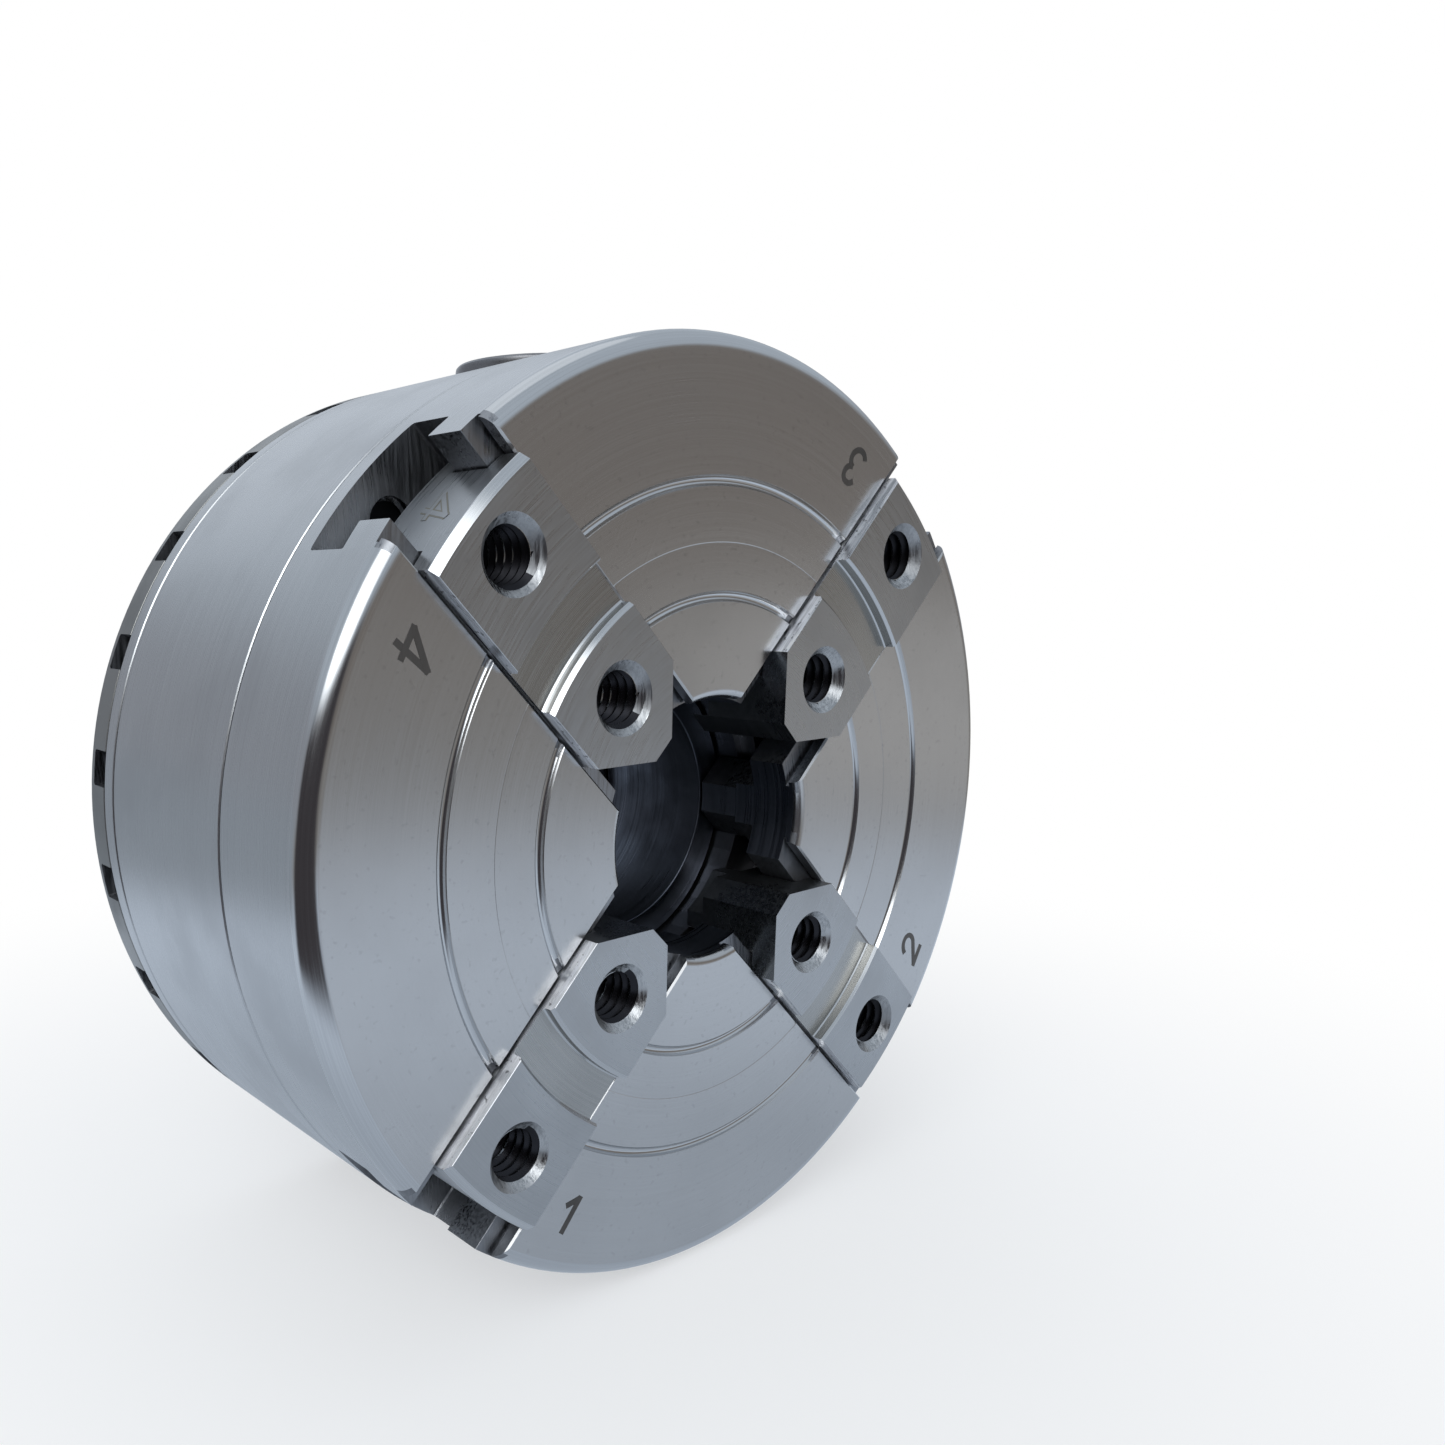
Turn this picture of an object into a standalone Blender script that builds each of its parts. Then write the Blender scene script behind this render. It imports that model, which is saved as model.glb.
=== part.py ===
"""Four-jaw self-centring scroll chuck for a lathe, as an assembly of separate parts.

Every part is drawn in the maker's frame: the spindle axis is Z, the rear register plane
is z = 0 and the work end points to +Z. One empty then lays the chuck on its side, so that
in the finished model the axis runs along Y and the work end faces -Y.
A depth below means a distance behind the front face.
"""
import math

import bmesh
import bpy
from mathutils import Matrix, Vector

# ---- driving dimensions, metres ----
BODY_R = 0.0625                 # outside radius of the body
FRONT_LEN = 0.0192              # front body, face to split line
REAR_LEN = 0.0330               # rear body, split line to rear joint
COVER_LEN = 0.0033              # rear cover plate
INDEX_LEN = 0.0054              # index ring
BORE_R = 0.0176                 # clear bore through the body
MOUTH_R = 0.0012                # rounding of the bore's mouth
RIM_R = 0.0024                  # rounding of the front rim
EDGE_CHAMFER = 0.0004           # small chamfer at each joint line
FACE_GROOVES = (0.0306, 0.0448)  # radii of the two reference grooves in the face
FACE_GROOVE_W = 0.0018          # their width; they are half round
GAP = 0.0003                    # running clearance between touching parts

JAW_ANGLES = {1: 225.0, 2: 315.0, 3: 45.0, 4: 135.0}   # seen from the front
SLOT_LINES = (45, 135)          # each line holds two opposite slots
SLOT_HW = 0.0090                # half width of the slot at the face
LEDGE_DEPTH = 0.0023            # depth of the ledge that carries the jaw's shoulders
RELIEF = 0.0005                 # relief groove in the corner above the ledge
LEDGE_W = 0.0025                # how far each tongue stands into the slot
TONGUE_BACK = 0.0084            # depth of the tongues' rear faces
TEE_STEP = 0.0012               # how far the tee space reaches past the slot's side
TEE_BACK = 0.0156               # depth of the tee space's floor at the rim

JAW_TIP_OVER = 0.0004           # how far the jaw's inner end stands over the bore
JAW_TIP_HW = 0.0019             # half width of the small flat on the inner end
JAW_INSET = 0.0050              # jaw's outer end inside the body's rim
JAW_END_BEVEL = 0.0014          # bevel on the outer end's top edge
PAD_HEIGHT = 0.0021             # jaw pads above the face
RECESS_FLOOR = 0.0003           # floor of the turned recess above the face
RECESS_IN = 0.0189              # recess, from the jaw's inner end to its inner wall
RECESS_W = 0.0056               # width of the recess at its floor
JAW_BASE_DEPTH = 0.0118         # underside of the jaw's base, from which the teeth stand
TOOTH_HW = 0.0055               # half width of the scroll teeth under a jaw
INNER_HOLE = 0.0096             # tapped holes for the top jaws, from the jaw's inner end
OUTER_HOLE = 0.0072             # and from its outer end
TAP_R = 0.0034                  # tapping size for M8
TAP_CHAMFER = 0.0012            # lead-in chamfer of the tapped holes
TAP_DEPTH = 0.0125              # below the pad

SCROLL_PITCH = 0.0060           # spiral advance for one turn
THREAD_W = 0.0024               # width of the spiral thread
THREAD_H = 0.0028               # height of the spiral thread
BODY_WALL = 0.0110              # wall between the scroll ring's space and the outside
HUB_WALL = 0.0044               # wall of the hub that the scroll ring turns on
SEAT_DEPTH = 0.0022             # scroll ring's back behind the split line
PINION_TEETH = 10
TOOTH_PITCH = 0.0071             # round the scroll ring, at the bevel teeth's outer ends
TOOTH_FACE_LEN = 0.0090         # length of the bevel teeth
TOOTH_EDGE = 0.0060             # their outer ends inside the scroll ring's outside
TOOTH_DEPTH = 0.0030            # depth of the bevel teeth at their outer end
MESH_DEPTH = 0.0020             # how far pinion and scroll teeth reach into each other

PINION_ANGLES = {"top": 90.0, "bottom": 270.0}
PINION_BEHIND = 0.0170          # pinion axis behind the split line
HEAD_STEP = 0.0001              # pinion head wider than its teeth
PINION_PROUD = 0.0004           # head above the body's outside at its middle
PINION_NECK_R = 0.0045          # inner journal of the pinion
PINION_NECK_LEN = 0.0100
KEY_AF = 0.0100                 # square key socket, across flats
KEY_DEPTH = 0.0120
PIN_R = 0.0015                  # pinion retaining pin
PIN_INSET = 0.0065              # its distance inside the body's outside
PIN_GROOVE = 0.0014             # depth of the groove it runs in

BODY_SCREW_INSET = 0.0061       # M6 screws joining front and rear body
BODY_SCREW_SHORT = 0.0016       # their ends stay this far inside the front body's tapped holes
M6_R, M6_HEAD_R, M6_HEAD_H = 0.0030, 0.0048, 0.0060
RING_SCREW_INSET = 0.0125       # M5 screws through index ring and cover
RING_SCREW_TURN = 22.5
M5_R, M5_HEAD_R, M5_HEAD_H = 0.0025, 0.0042, 0.0050
M5_REACH = 0.0070               # thread length in the rear body
ADAPTER_SCREW_OUT = 0.0057      # M4 screws, outside the adapter's barrel
M4_R, M4_HEAD_R, M4_HEAD_H = 0.0020, 0.0035, 0.0040
M4_REACH = 0.0060
SOCKET_SHARE = 0.52             # hexagon socket across flats / head diameter
SCREW_TURN = 45.0

INDEX_COUNT = 24
NOTCH_W = 0.0050
NOTCH_LEN = 0.0037
NOTCH_DEPTH = 0.0060

ADAPTER_WALL = 0.0055           # wall of the threaded adapter in the rear body
ADAPTER_THREAD_R = 0.0150       # mean radius of its M33 spindle thread
ADAPTER_LEN = 0.0200
FLANGE_W = 0.0105               # width of its flange outside the barrel
FLANGE_LEN = 0.0048
SPIGOT_W = 0.0110               # cover's spigot between flange and index ring

ROUND = 48                      # sides of the big round parts
FINE = 24                       # sides of the pinions and turned cutters
SMALL = 10                      # sides of the small round parts
SPIRAL_STEP = 12                # degrees between points on the spiral
CUT = 0.0010                    # how far a cutter reaches past a face

# ---- derived sizes across the axis ----
TONGUE_HW = SLOT_HW - LEDGE_W
TEE_HW = SLOT_HW + TEE_STEP
JAW_TIP = BORE_R - JAW_TIP_OVER
JAW_END = BODY_R - JAW_INSET
HOLE_RADII = (JAW_TIP + INNER_HOLE, JAW_END - OUTER_HOLE)
RECESS_IN_R = JAW_TIP + RECESS_IN
RECESS_OUT_R = RECESS_IN_R + RECESS_W
HUB_R = BORE_R + HUB_WALL
CAVITY_R = BODY_R - BODY_WALL
SCROLL_R = CAVITY_R - GAP
TOOTH_FACE = (SCROLL_R - TOOTH_EDGE - TOOTH_FACE_LEN, SCROLL_R - TOOTH_EDGE)
SCROLL_TEETH = 4 * round(math.tau * TOOTH_FACE[1] / TOOTH_PITCH / 4)
LEDGE_R = TOOTH_FACE[0] - 2 * GAP                  # ledge that carries the scroll ring's back
PITCH_SLOPE = PINION_TEETH / SCROLL_TEETH          # slope of the bevel gears' pitch cones
PINION_R = PITCH_SLOPE * TOOTH_FACE[1] + MESH_DEPTH / 2 + HEAD_STEP
PINION_INNER = TOOTH_FACE[0] - PINION_NECK_LEN
PIN_RADIUS = BODY_R - PIN_INSET
BODY_SCREW_PCR = BODY_R - BODY_SCREW_INSET
RING_SCREW_PCR = BODY_R - RING_SCREW_INSET
ADAPTER_R = ADAPTER_THREAD_R + ADAPTER_WALL
ADAPTER_SCREW_PCR = ADAPTER_R + ADAPTER_SCREW_OUT
FLANGE_R = ADAPTER_R + FLANGE_W
INDEX_BORE_R = FLANGE_R + SPIGOT_W

# ---- derived heights above the rear register plane ----
FACE_Z = INDEX_LEN + COVER_LEN + REAR_LEN + FRONT_LEN
SPLIT_Z = FACE_Z - FRONT_LEN
COVER_Z = SPLIT_Z - REAR_LEN
INDEX_Z = COVER_Z - COVER_LEN
PINION_Z = SPLIT_Z - PINION_BEHIND
THREAD_TOP_Z = FACE_Z - JAW_BASE_DEPTH - 2 * GAP
THREAD_ROOT_Z = THREAD_TOP_Z - THREAD_H
DISC_BACK_Z = SPLIT_Z - SEAT_DEPTH
GEAR_FLOOR_Z = PINION_Z - PINION_NECK_R            # rear of the space the bevel teeth turn in


# ---- making and placing objects ----

def clear_scene():
    for obj in list(bpy.data.objects):
        bpy.data.objects.remove(obj)


def make_collections():
    parts = bpy.data.collections.new("lathe_chuck")
    cutters = bpy.data.collections.new("cutters")
    for collection in (parts, cutters):
        bpy.context.scene.collection.children.link(collection)
    return parts, cutters


def make_axis(parts):
    """The empty that lays the spindle axis along Y, work end towards -Y."""
    axis = bpy.data.objects.new("spindle_axis", None)
    axis.rotation_euler = (math.pi / 2, 0, 0)
    parts.objects.link(axis)
    return axis


def metal(name, colour, roughness):
    material = bpy.data.materials.new(name)
    material.use_nodes = True
    shader = material.node_tree.nodes["Principled BSDF"]
    shader.inputs["Base Color"].default_value = (*colour, 1)
    shader.inputs["Roughness"].default_value = roughness
    shader.inputs["Metallic"].default_value = 1.0
    return material


def smooth(mesh):
    mesh.shade_smooth()
    mesh.set_sharp_from_angle(angle=math.radians(30))


def add_part(name, mesh, material, angle=0.0, place=(0, 0, 0)):
    """A named part, turned about the spindle axis by an angle in degrees."""
    mesh.name = name
    smooth(mesh)
    obj = bpy.data.objects.new(name, mesh)
    obj.data.materials.clear()
    obj.data.materials.append(material)
    obj.location = place
    obj.rotation_euler = (0, 0, math.radians(angle))
    obj.parent = AXIS
    PARTS.objects.link(obj)
    return obj


def add_cutter(name, mesh, angle=0.0):
    obj = bpy.data.objects.new(name, mesh)
    obj.rotation_euler = (0, 0, math.radians(angle))
    obj.parent = AXIS
    obj.hide_render = True
    obj.display_type = "WIRE"
    CUTTERS.objects.link(obj)
    return obj


def cut(obj, cutter, operation="DIFFERENCE"):
    boolean = obj.modifiers.new(cutter.name, "BOOLEAN")
    boolean.operation = operation
    boolean.solver = "EXACT"
    boolean.object = cutter


def finish_mesh(builder, name):
    mesh = bpy.data.meshes.new(name)
    builder.to_mesh(mesh)
    builder.free()
    return mesh


# ---- shapes ----

def add_block(builder, low, high, matrix=Matrix()):
    """A box between two corners."""
    low, high = Vector(low), Vector(high)
    size = Matrix.Diagonal((*(high - low), 1))
    bmesh.ops.create_cube(builder, size=1, matrix=matrix @ Matrix.Translation((low + high) / 2) @ size)


def add_rod(builder, radius, low, high, matrix=Matrix(), sides=SMALL, top_radius=None):
    """A cylinder or cone along Z between two heights."""
    top = radius if top_radius is None else top_radius
    place = matrix @ Matrix.Translation((0, 0, (low + high) / 2))
    bmesh.ops.create_cone(builder, cap_ends=True, segments=sides, radius1=radius, radius2=top,
                          depth=high - low, matrix=place)


def blocks(name, corners, angles):
    """One mesh of boxes, repeated round the axis."""
    builder = bmesh.new()
    for angle in angles:
        turn = Matrix.Rotation(math.radians(angle), 4, "Z")
        for low, high in corners:
            add_block(builder, low, high, turn)
    return finish_mesh(builder, name)


def rods(name, radius, low, high, centre_radius, angles, sides=SMALL, top_radius=None):
    """One mesh of rods along Z, on a circle about the axis."""
    builder = bmesh.new()
    for angle in angles:
        place = Matrix.Rotation(math.radians(angle), 4, "Z") @ Matrix.Translation((centre_radius, 0, 0))
        add_rod(builder, radius, low, high, place, sides, top_radius)
    return finish_mesh(builder, name)


def turned(name, profile, sides):
    """A turned shape: a closed outline of (radius, height) points swept round the axis."""
    mesh = bpy.data.meshes.new(name)
    points = [(radius, 0, height) for radius, height in profile]
    edges = [(i, (i + 1) % len(points)) for i in range(len(points))]
    mesh.from_pydata(points, edges, [])
    helper = bpy.data.objects.new(name + "_profile", mesh)
    CUTTERS.objects.link(helper)
    screw = helper.modifiers.new("turn", "SCREW")
    screw.steps = screw.render_steps = sides
    screw.use_merge_vertices = True
    screw.merge_threshold = 0.00001
    return evaluated(helper)


def evaluated(helper):
    """The helper's finished mesh, welded; the helper itself is removed."""
    bpy.context.view_layer.update()
    graph = bpy.context.evaluated_depsgraph_get()
    mesh = bpy.data.meshes.new_from_object(helper.evaluated_get(graph))
    bpy.data.objects.remove(helper)
    builder = bmesh.new()
    builder.from_mesh(mesh)
    bmesh.ops.remove_doubles(builder, verts=builder.verts, dist=0.00001)
    bmesh.ops.recalc_face_normals(builder, faces=builder.faces)
    builder.to_mesh(mesh)
    builder.free()
    return mesh


def extruded(name, outline, low, high):
    """A flat outline of (x, y) points, given thickness between two heights along Z."""
    curve = bpy.data.curves.new(name, "CURVE")
    curve.dimensions = "2D"
    curve.fill_mode = "BOTH"
    curve.extrude = (high - low) / 2
    spline = curve.splines.new("POLY")
    spline.points.add(len(outline) - 1)
    for point, (x, y) in zip(spline.points, outline):
        point.co = (x, y, 0, 1)
    spline.use_cyclic_u = True
    helper = bpy.data.objects.new(name + "_outline", curve)
    CUTTERS.objects.link(helper)
    mesh = evaluated(helper)
    mesh.transform(Matrix.Translation((0, 0, (low + high) / 2)))
    return mesh


def arc(centre, radius, start, end, steps):
    """Points on an arc; angles in degrees."""
    turn = [math.radians(start + (end - start) * i / steps) for i in range(steps + 1)]
    return [(centre[0] + radius * math.cos(a), centre[1] + radius * math.sin(a)) for a in turn]


def mirrored(half):
    """A closed outline from its +X half, listed from the top down."""
    return half + [(-x, y) for x, y in reversed(half)]


def along_slot(mesh):
    """Turns a cross section drawn in XY, extruded along Z, so that it runs outwards along +X.

    The section's X becomes the slot's width and its Y the height.
    """
    mesh.transform(Matrix(((0, 0, 1, 0), (1, 0, 0, 0), (0, 1, 0, 0), (0, 0, 0, 1))))
    return mesh


# ---- body ----

def groove_points(radius):
    """A half-round groove in the face, listed from the bore outwards."""
    half = FACE_GROOVE_W / 2
    return arc((radius, FACE_Z), half, 180, 360, 2)


def front_body():
    inner, outer = FACE_GROOVES
    rim = arc((BODY_R - RIM_R, FACE_Z - RIM_R), RIM_R, 90, 0, 3)
    mouth = arc((BORE_R + MOUTH_R, FACE_Z - MOUTH_R), MOUTH_R, 180, 90, 2)
    low = SPLIT_Z + GAP / 2
    cavity_top = THREAD_TOP_Z + 2 * GAP
    foot = [(BODY_R, low + EDGE_CHAMFER), (BODY_R - EDGE_CHAMFER, low), (CAVITY_R, low),
            (CAVITY_R, cavity_top), (HUB_R, cavity_top), (HUB_R, low + GAP), (BORE_R, low + GAP)]
    profile = mouth + groove_points(inner) + groove_points(outer) + rim + foot
    obj = add_part("front_body", turned("front_body", profile, ROUND), STEEL)
    for angle in SLOT_LINES:
        cut(obj, slot_cutter(angle))
        cut(obj, inner_slot_cutter(angle))
    holes = rods("front_tap", M6_R + GAP, low - CUT, FACE_Z - TEE_BACK + CUT, BODY_SCREW_PCR,
                 JAW_ANGLES.values())
    cut(obj, add_cutter("front_tap", holes))
    return obj


def slot_cutter(angle):
    """Two opposite tee slots: one stepped section run right across the body and its bore."""
    half = [(SLOT_HW, FACE_Z + CUT), (SLOT_HW, FACE_Z - LEDGE_DEPTH + RELIEF),
            (SLOT_HW + RELIEF, FACE_Z - LEDGE_DEPTH + RELIEF), (SLOT_HW + RELIEF, FACE_Z - LEDGE_DEPTH),
            (TONGUE_HW, FACE_Z - LEDGE_DEPTH), (TONGUE_HW, FACE_Z - TONGUE_BACK),
            (TEE_HW, FACE_Z - TONGUE_BACK), (TEE_HW, FACE_Z - TEE_BACK)]
    reach = BODY_R + CUT
    section = along_slot(extruded("slot", mirrored(half), -reach, reach))
    return add_cutter("slots_%d" % angle, section, angle)


def inner_slot_cutter(angle):
    """Opens two slots to the rear inside the scroll ring, so that the jaws' teeth can pass."""
    wide = TEE_HW + 2 * GAP
    reach = HUB_R + CUT
    box = ((-reach, -wide, SPLIT_Z - CUT), (reach, wide, FACE_Z - JAW_BASE_DEPTH))
    return add_cutter("inner_slots_%d" % angle, blocks("inner_slots", [box], [angle]))


def rear_body():
    top = SPLIT_Z - GAP / 2
    ledge = DISC_BACK_Z - GAP
    low = COVER_Z + GAP / 2
    socket_top = INDEX_Z - FLANGE_LEN + ADAPTER_LEN
    profile = [(CAVITY_R, top), (BODY_R - EDGE_CHAMFER, top), (BODY_R, top - EDGE_CHAMFER),
               (BODY_R, low + EDGE_CHAMFER), (BODY_R - EDGE_CHAMFER, low),
               (ADAPTER_R + GAP, low), (ADAPTER_R + GAP, socket_top), (BORE_R, socket_top),
               (BORE_R, top), (HUB_R - GAP, top), (HUB_R - GAP, ledge), (LEDGE_R, ledge),
               (LEDGE_R, GEAR_FLOOR_Z), (CAVITY_R, GEAR_FLOOR_Z)]
    obj = add_part("rear_body", turned("rear_body", profile, ROUND), STEEL)
    clear = M6_R + GAP
    screw = rods("rear_body_hole", clear, low - CUT, top + CUT, BODY_SCREW_PCR, JAW_ANGLES.values())
    cut(obj, add_cutter("rear_body_holes", screw))
    head = rods("head_hole", M6_HEAD_R + GAP, low - CUT, low + M6_HEAD_H + GAP, BODY_SCREW_PCR,
                JAW_ANGLES.values())
    cut(obj, add_cutter("head_holes", head))
    ring = rods("ring_tap", M5_R + GAP, low - CUT, low + M5_REACH + CUT, RING_SCREW_PCR, ring_angles())
    cut(obj, add_cutter("ring_taps", ring))
    flange = rods("adapter_tap", M4_R + GAP, low - CUT, low + M4_REACH + CUT, ADAPTER_SCREW_PCR,
                  adapter_angles())
    cut(obj, add_cutter("adapter_taps", flange))
    cut(obj, pinion_hole_cutter())
    pin = rods("pin_hole", PIN_R + GAP, low - CUT, PINION_Z, PIN_RADIUS, PINION_ANGLES.values())
    cut(obj, add_cutter("pin_holes", pin))
    return obj


def ring_angles():
    return [RING_SCREW_TURN + 90 * i for i in range(4)]


def adapter_angles():
    return [SCREW_TURN + 90 * i for i in range(4)]


def outward(angle, height):
    """Places a shape drawn along Z so that it points straight out from the axis."""
    turn = Matrix.Rotation(math.radians(angle), 4, "Z")
    return turn @ Matrix.Translation((0, 0, height)) @ Matrix.Rotation(math.pi / 2, 4, "Y")


def pinion_hole_cutter():
    """Head bore from the outside into the gear space, and the journal bore inside it."""
    builder = bmesh.new()
    for angle in PINION_ANGLES.values():
        place = outward(angle, PINION_Z)
        add_rod(builder, PINION_R + GAP, TOOTH_FACE[0] - GAP, BODY_R + CUT, place, FINE)
        add_rod(builder, PINION_NECK_R + GAP, PINION_INNER - GAP, TOOTH_FACE[0] - 2 * GAP, place)
    return add_cutter("pinion_holes", finish_mesh(builder, "pinion_holes"))


def rear_cover():
    top = COVER_Z - GAP / 2
    low = INDEX_Z + GAP / 2
    flange_seat = FLANGE_R + GAP
    spigot = INDEX_BORE_R - GAP
    profile = [(flange_seat, top), (BODY_R - EDGE_CHAMFER, top), (BODY_R, top - EDGE_CHAMFER),
               (BODY_R, low), (spigot, low), (spigot, 0), (flange_seat, 0)]
    obj = add_part("rear_cover", turned("rear_cover", profile, ROUND), STEEL)
    holes = rods("cover_hole", M5_R + GAP, low - CUT, top + CUT, RING_SCREW_PCR, ring_angles())
    cut(obj, add_cutter("cover_holes", holes))
    return obj


def index_ring():
    top = INDEX_Z - GAP / 2
    chamfer = 2 * EDGE_CHAMFER
    profile = [(INDEX_BORE_R, top), (BODY_R, top), (BODY_R, chamfer), (BODY_R - chamfer, 0),
               (INDEX_BORE_R, 0)]
    obj = add_part("index_ring", turned("index_ring", profile, ROUND), STEEL)
    step = 360 / INDEX_COUNT
    box = ((BODY_R - NOTCH_DEPTH, -NOTCH_W / 2, top - NOTCH_LEN), (BODY_R + CUT, NOTCH_W / 2, top + CUT))
    angles = [(i + 0.5) * step for i in range(INDEX_COUNT)]
    cut(obj, add_cutter("notches", blocks("notches", [box], angles)))
    holes = rods("ring_hole", M5_R + GAP, -CUT, top + CUT, RING_SCREW_PCR, ring_angles())
    cut(obj, add_cutter("ring_holes", holes))
    heads = rods("ring_head", M5_HEAD_R + GAP, -CUT, ring_head_top(), RING_SCREW_PCR, ring_angles())
    cut(obj, add_cutter("ring_heads", heads))
    return obj


def ring_head_top():
    """Height of the counterbore's floor; the screw heads stop just inside the rear face."""
    return INDEX_LEN - 2 * GAP - (INDEX_LEN - M5_HEAD_H) / 2


def spindle_adapter():
    top = COVER_Z - COVER_LEN - FLANGE_LEN + ADAPTER_LEN - GAP
    shoulder = COVER_Z - GAP / 2
    relief = EDGE_CHAMFER * 2
    profile = [(ADAPTER_THREAD_R + relief, top), (ADAPTER_R, top), (ADAPTER_R, shoulder),
               (FLANGE_R, shoulder), (FLANGE_R, EDGE_CHAMFER), (FLANGE_R - EDGE_CHAMFER, 0),
               (ADAPTER_THREAD_R + relief, 0), (ADAPTER_THREAD_R, relief),
               (ADAPTER_THREAD_R, top - relief)]
    obj = add_part("spindle_adapter", turned("spindle_adapter", profile, ROUND), STEEL)
    holes = rods("adapter_hole", M4_R + GAP, -CUT, shoulder + CUT, ADAPTER_SCREW_PCR, adapter_angles())
    cut(obj, add_cutter("adapter_holes", holes))
    heads = rods("adapter_head", M4_HEAD_R + GAP, -CUT, M4_HEAD_H + 2 * GAP, ADAPTER_SCREW_PCR,
                 adapter_angles())
    cut(obj, add_cutter("adapter_heads", heads))
    return obj


# ---- scroll ring ----

def spiral_radius(angle, offset):
    """Radius of the spiral's centre line, plus an offset, at a running angle in degrees."""
    return HUB_R + THREAD_W + SCROLL_PITCH * angle / 360 + offset


def spiral_outline():
    """Outer edge of the spiral thread outwards, then its inner edge back."""
    last = 360 * (SCROLL_R - HUB_R - 2 * THREAD_W) / SCROLL_PITCH
    steps = int(last / SPIRAL_STEP)
    angles = [last * i / steps for i in range(steps + 1)]
    edges = [(a, THREAD_W / 2) for a in angles] + [(a, -THREAD_W / 2) for a in reversed(angles)]
    return [(spiral_radius(a, o) * math.cos(math.radians(a)),
             spiral_radius(a, o) * math.sin(math.radians(a))) for a, o in edges]


def scroll_ring():
    hub = HUB_R + GAP
    inner, outer = TOOTH_FACE
    crown = [(radius, scroll_pitch_z(radius) - MESH_DEPTH / 2) for radius in (outer, inner)]
    profile = [(hub, THREAD_ROOT_Z), (SCROLL_R, THREAD_ROOT_Z), (SCROLL_R, DISC_BACK_Z),
               (outer, DISC_BACK_Z), *crown, (inner, DISC_BACK_Z), (hub, DISC_BACK_Z)]
    obj = add_part("scroll_ring", turned("scroll_ring", profile, ROUND), DARK_STEEL)
    spiral = extruded("spiral", spiral_outline(), THREAD_ROOT_Z - THREAD_H / 2, THREAD_TOP_Z)
    cut(obj, add_cutter("spiral", spiral), "UNION")
    cut(obj, crown_cutter())
    return obj


def scroll_pitch_z(radius):
    """Height of the bevel gears' common pitch line at a distance from the axis."""
    return PINION_Z + PITCH_SLOPE * radius


def crown_cutter():
    """Tapered spaces between the scroll ring's bevel teeth."""
    inner, outer = TOOTH_FACE
    builder = bmesh.new()
    for i in range(SCROLL_TEETH):
        turn = Matrix.Rotation(math.radians(360 * i / SCROLL_TEETH), 4, "Z")
        cube = bmesh.ops.create_cube(builder, size=1)["verts"]
        for vert in cube:
            radius = outer + CUT if vert.co.x > 0 else inner - CUT
            pitch = math.tau * radius / SCROLL_TEETH
            half = pitch * (0.34 if vert.co.z < 0 else 0.21)
            floor = scroll_pitch_z(radius) - MESH_DEPTH / 2 + TOOTH_DEPTH
            height = floor if vert.co.z > 0 else floor - TOOTH_DEPTH - CUT
            vert.co = turn @ Vector((radius, math.copysign(half, vert.co.y), height))
    return add_cutter("crown_spaces", finish_mesh(builder, "crown_spaces"))


# ---- jaws ----

def jaw(number):
    """A master jaw: stepped section, pointed inner end, arc outer end, recess, teeth, holes."""
    angle = JAW_ANGLES[number]
    top = FACE_Z + PAD_HEIGHT
    neck = TONGUE_HW - GAP
    base = TEE_HW - GAP
    shoulder = FACE_Z - LEDGE_DEPTH + GAP
    base_top = FACE_Z - TONGUE_BACK - GAP
    base_low = FACE_Z - JAW_BASE_DEPTH
    tooth_low = THREAD_ROOT_Z + GAP
    half = [(SLOT_HW - GAP, top), (SLOT_HW - GAP, shoulder), (neck, shoulder), (neck, base_top),
            (base, base_top), (base, base_low), (TOOTH_HW, base_low), (TOOTH_HW, tooth_low)]
    name = "jaw_%d" % number
    section = along_slot(extruded(name, mirrored(half), JAW_TIP, JAW_END + CUT))
    obj = add_part(name, section, STEEL, angle)
    cut(obj, add_cutter(name + "_point", point_cutter(), angle))
    cut(obj, add_cutter(name + "_end", end_cutter(), angle))
    cut(obj, add_cutter(name + "_recess", recess_cutter(), angle))
    cut(obj, add_cutter(name + "_teeth", teeth_cutter(angle), angle))
    for index, radius in enumerate(HOLE_RADII):
        cut(obj, add_cutter("%s_tap_%d" % (name, index), tap_cutter(radius), angle))
    return obj


def point_cutter():
    """Two blocks that bring the inner end to a right-angled point with a small flat."""
    builder = bmesh.new()
    reach = 2 * TEE_HW
    for side in (1, -1):
        corner = Matrix.Translation((JAW_TIP, side * JAW_TIP_HW, 0))
        turn = corner @ Matrix.Rotation(math.radians(side * 45), 4, "Z")
        low, high = (-reach, 0, THREAD_ROOT_Z), (2 * reach, reach, FACE_Z + PAD_HEIGHT + CUT)
        if side < 0:
            low, high = (low[0], -reach, low[2]), (high[0], 0, high[2])
        add_block(builder, low, high, turn)
    return finish_mesh(builder, "point")


def end_cutter():
    """Ring that leaves the outer end as an arc about the axis, with a bevelled top edge."""
    top = FACE_Z + PAD_HEIGHT
    far = JAW_END + 10 * CUT
    profile = [(JAW_END - JAW_END_BEVEL - CUT, top + CUT), (far, top + CUT), (far, SPLIT_Z),
               (JAW_END, SPLIT_Z), (JAW_END, top - JAW_END_BEVEL)]
    return turned("end", profile, ROUND)


def recess_cutter():
    """Turned recess that locates the top jaws; its inner wall leans inwards."""
    top = FACE_Z + PAD_HEIGHT + CUT
    floor = FACE_Z + RECESS_FLOOR
    profile = [(RECESS_IN_R - (top - floor), top), (RECESS_OUT_R, top), (RECESS_OUT_R, floor),
               (RECESS_IN_R, floor)]
    return turned("recess", profile, ROUND)


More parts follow.
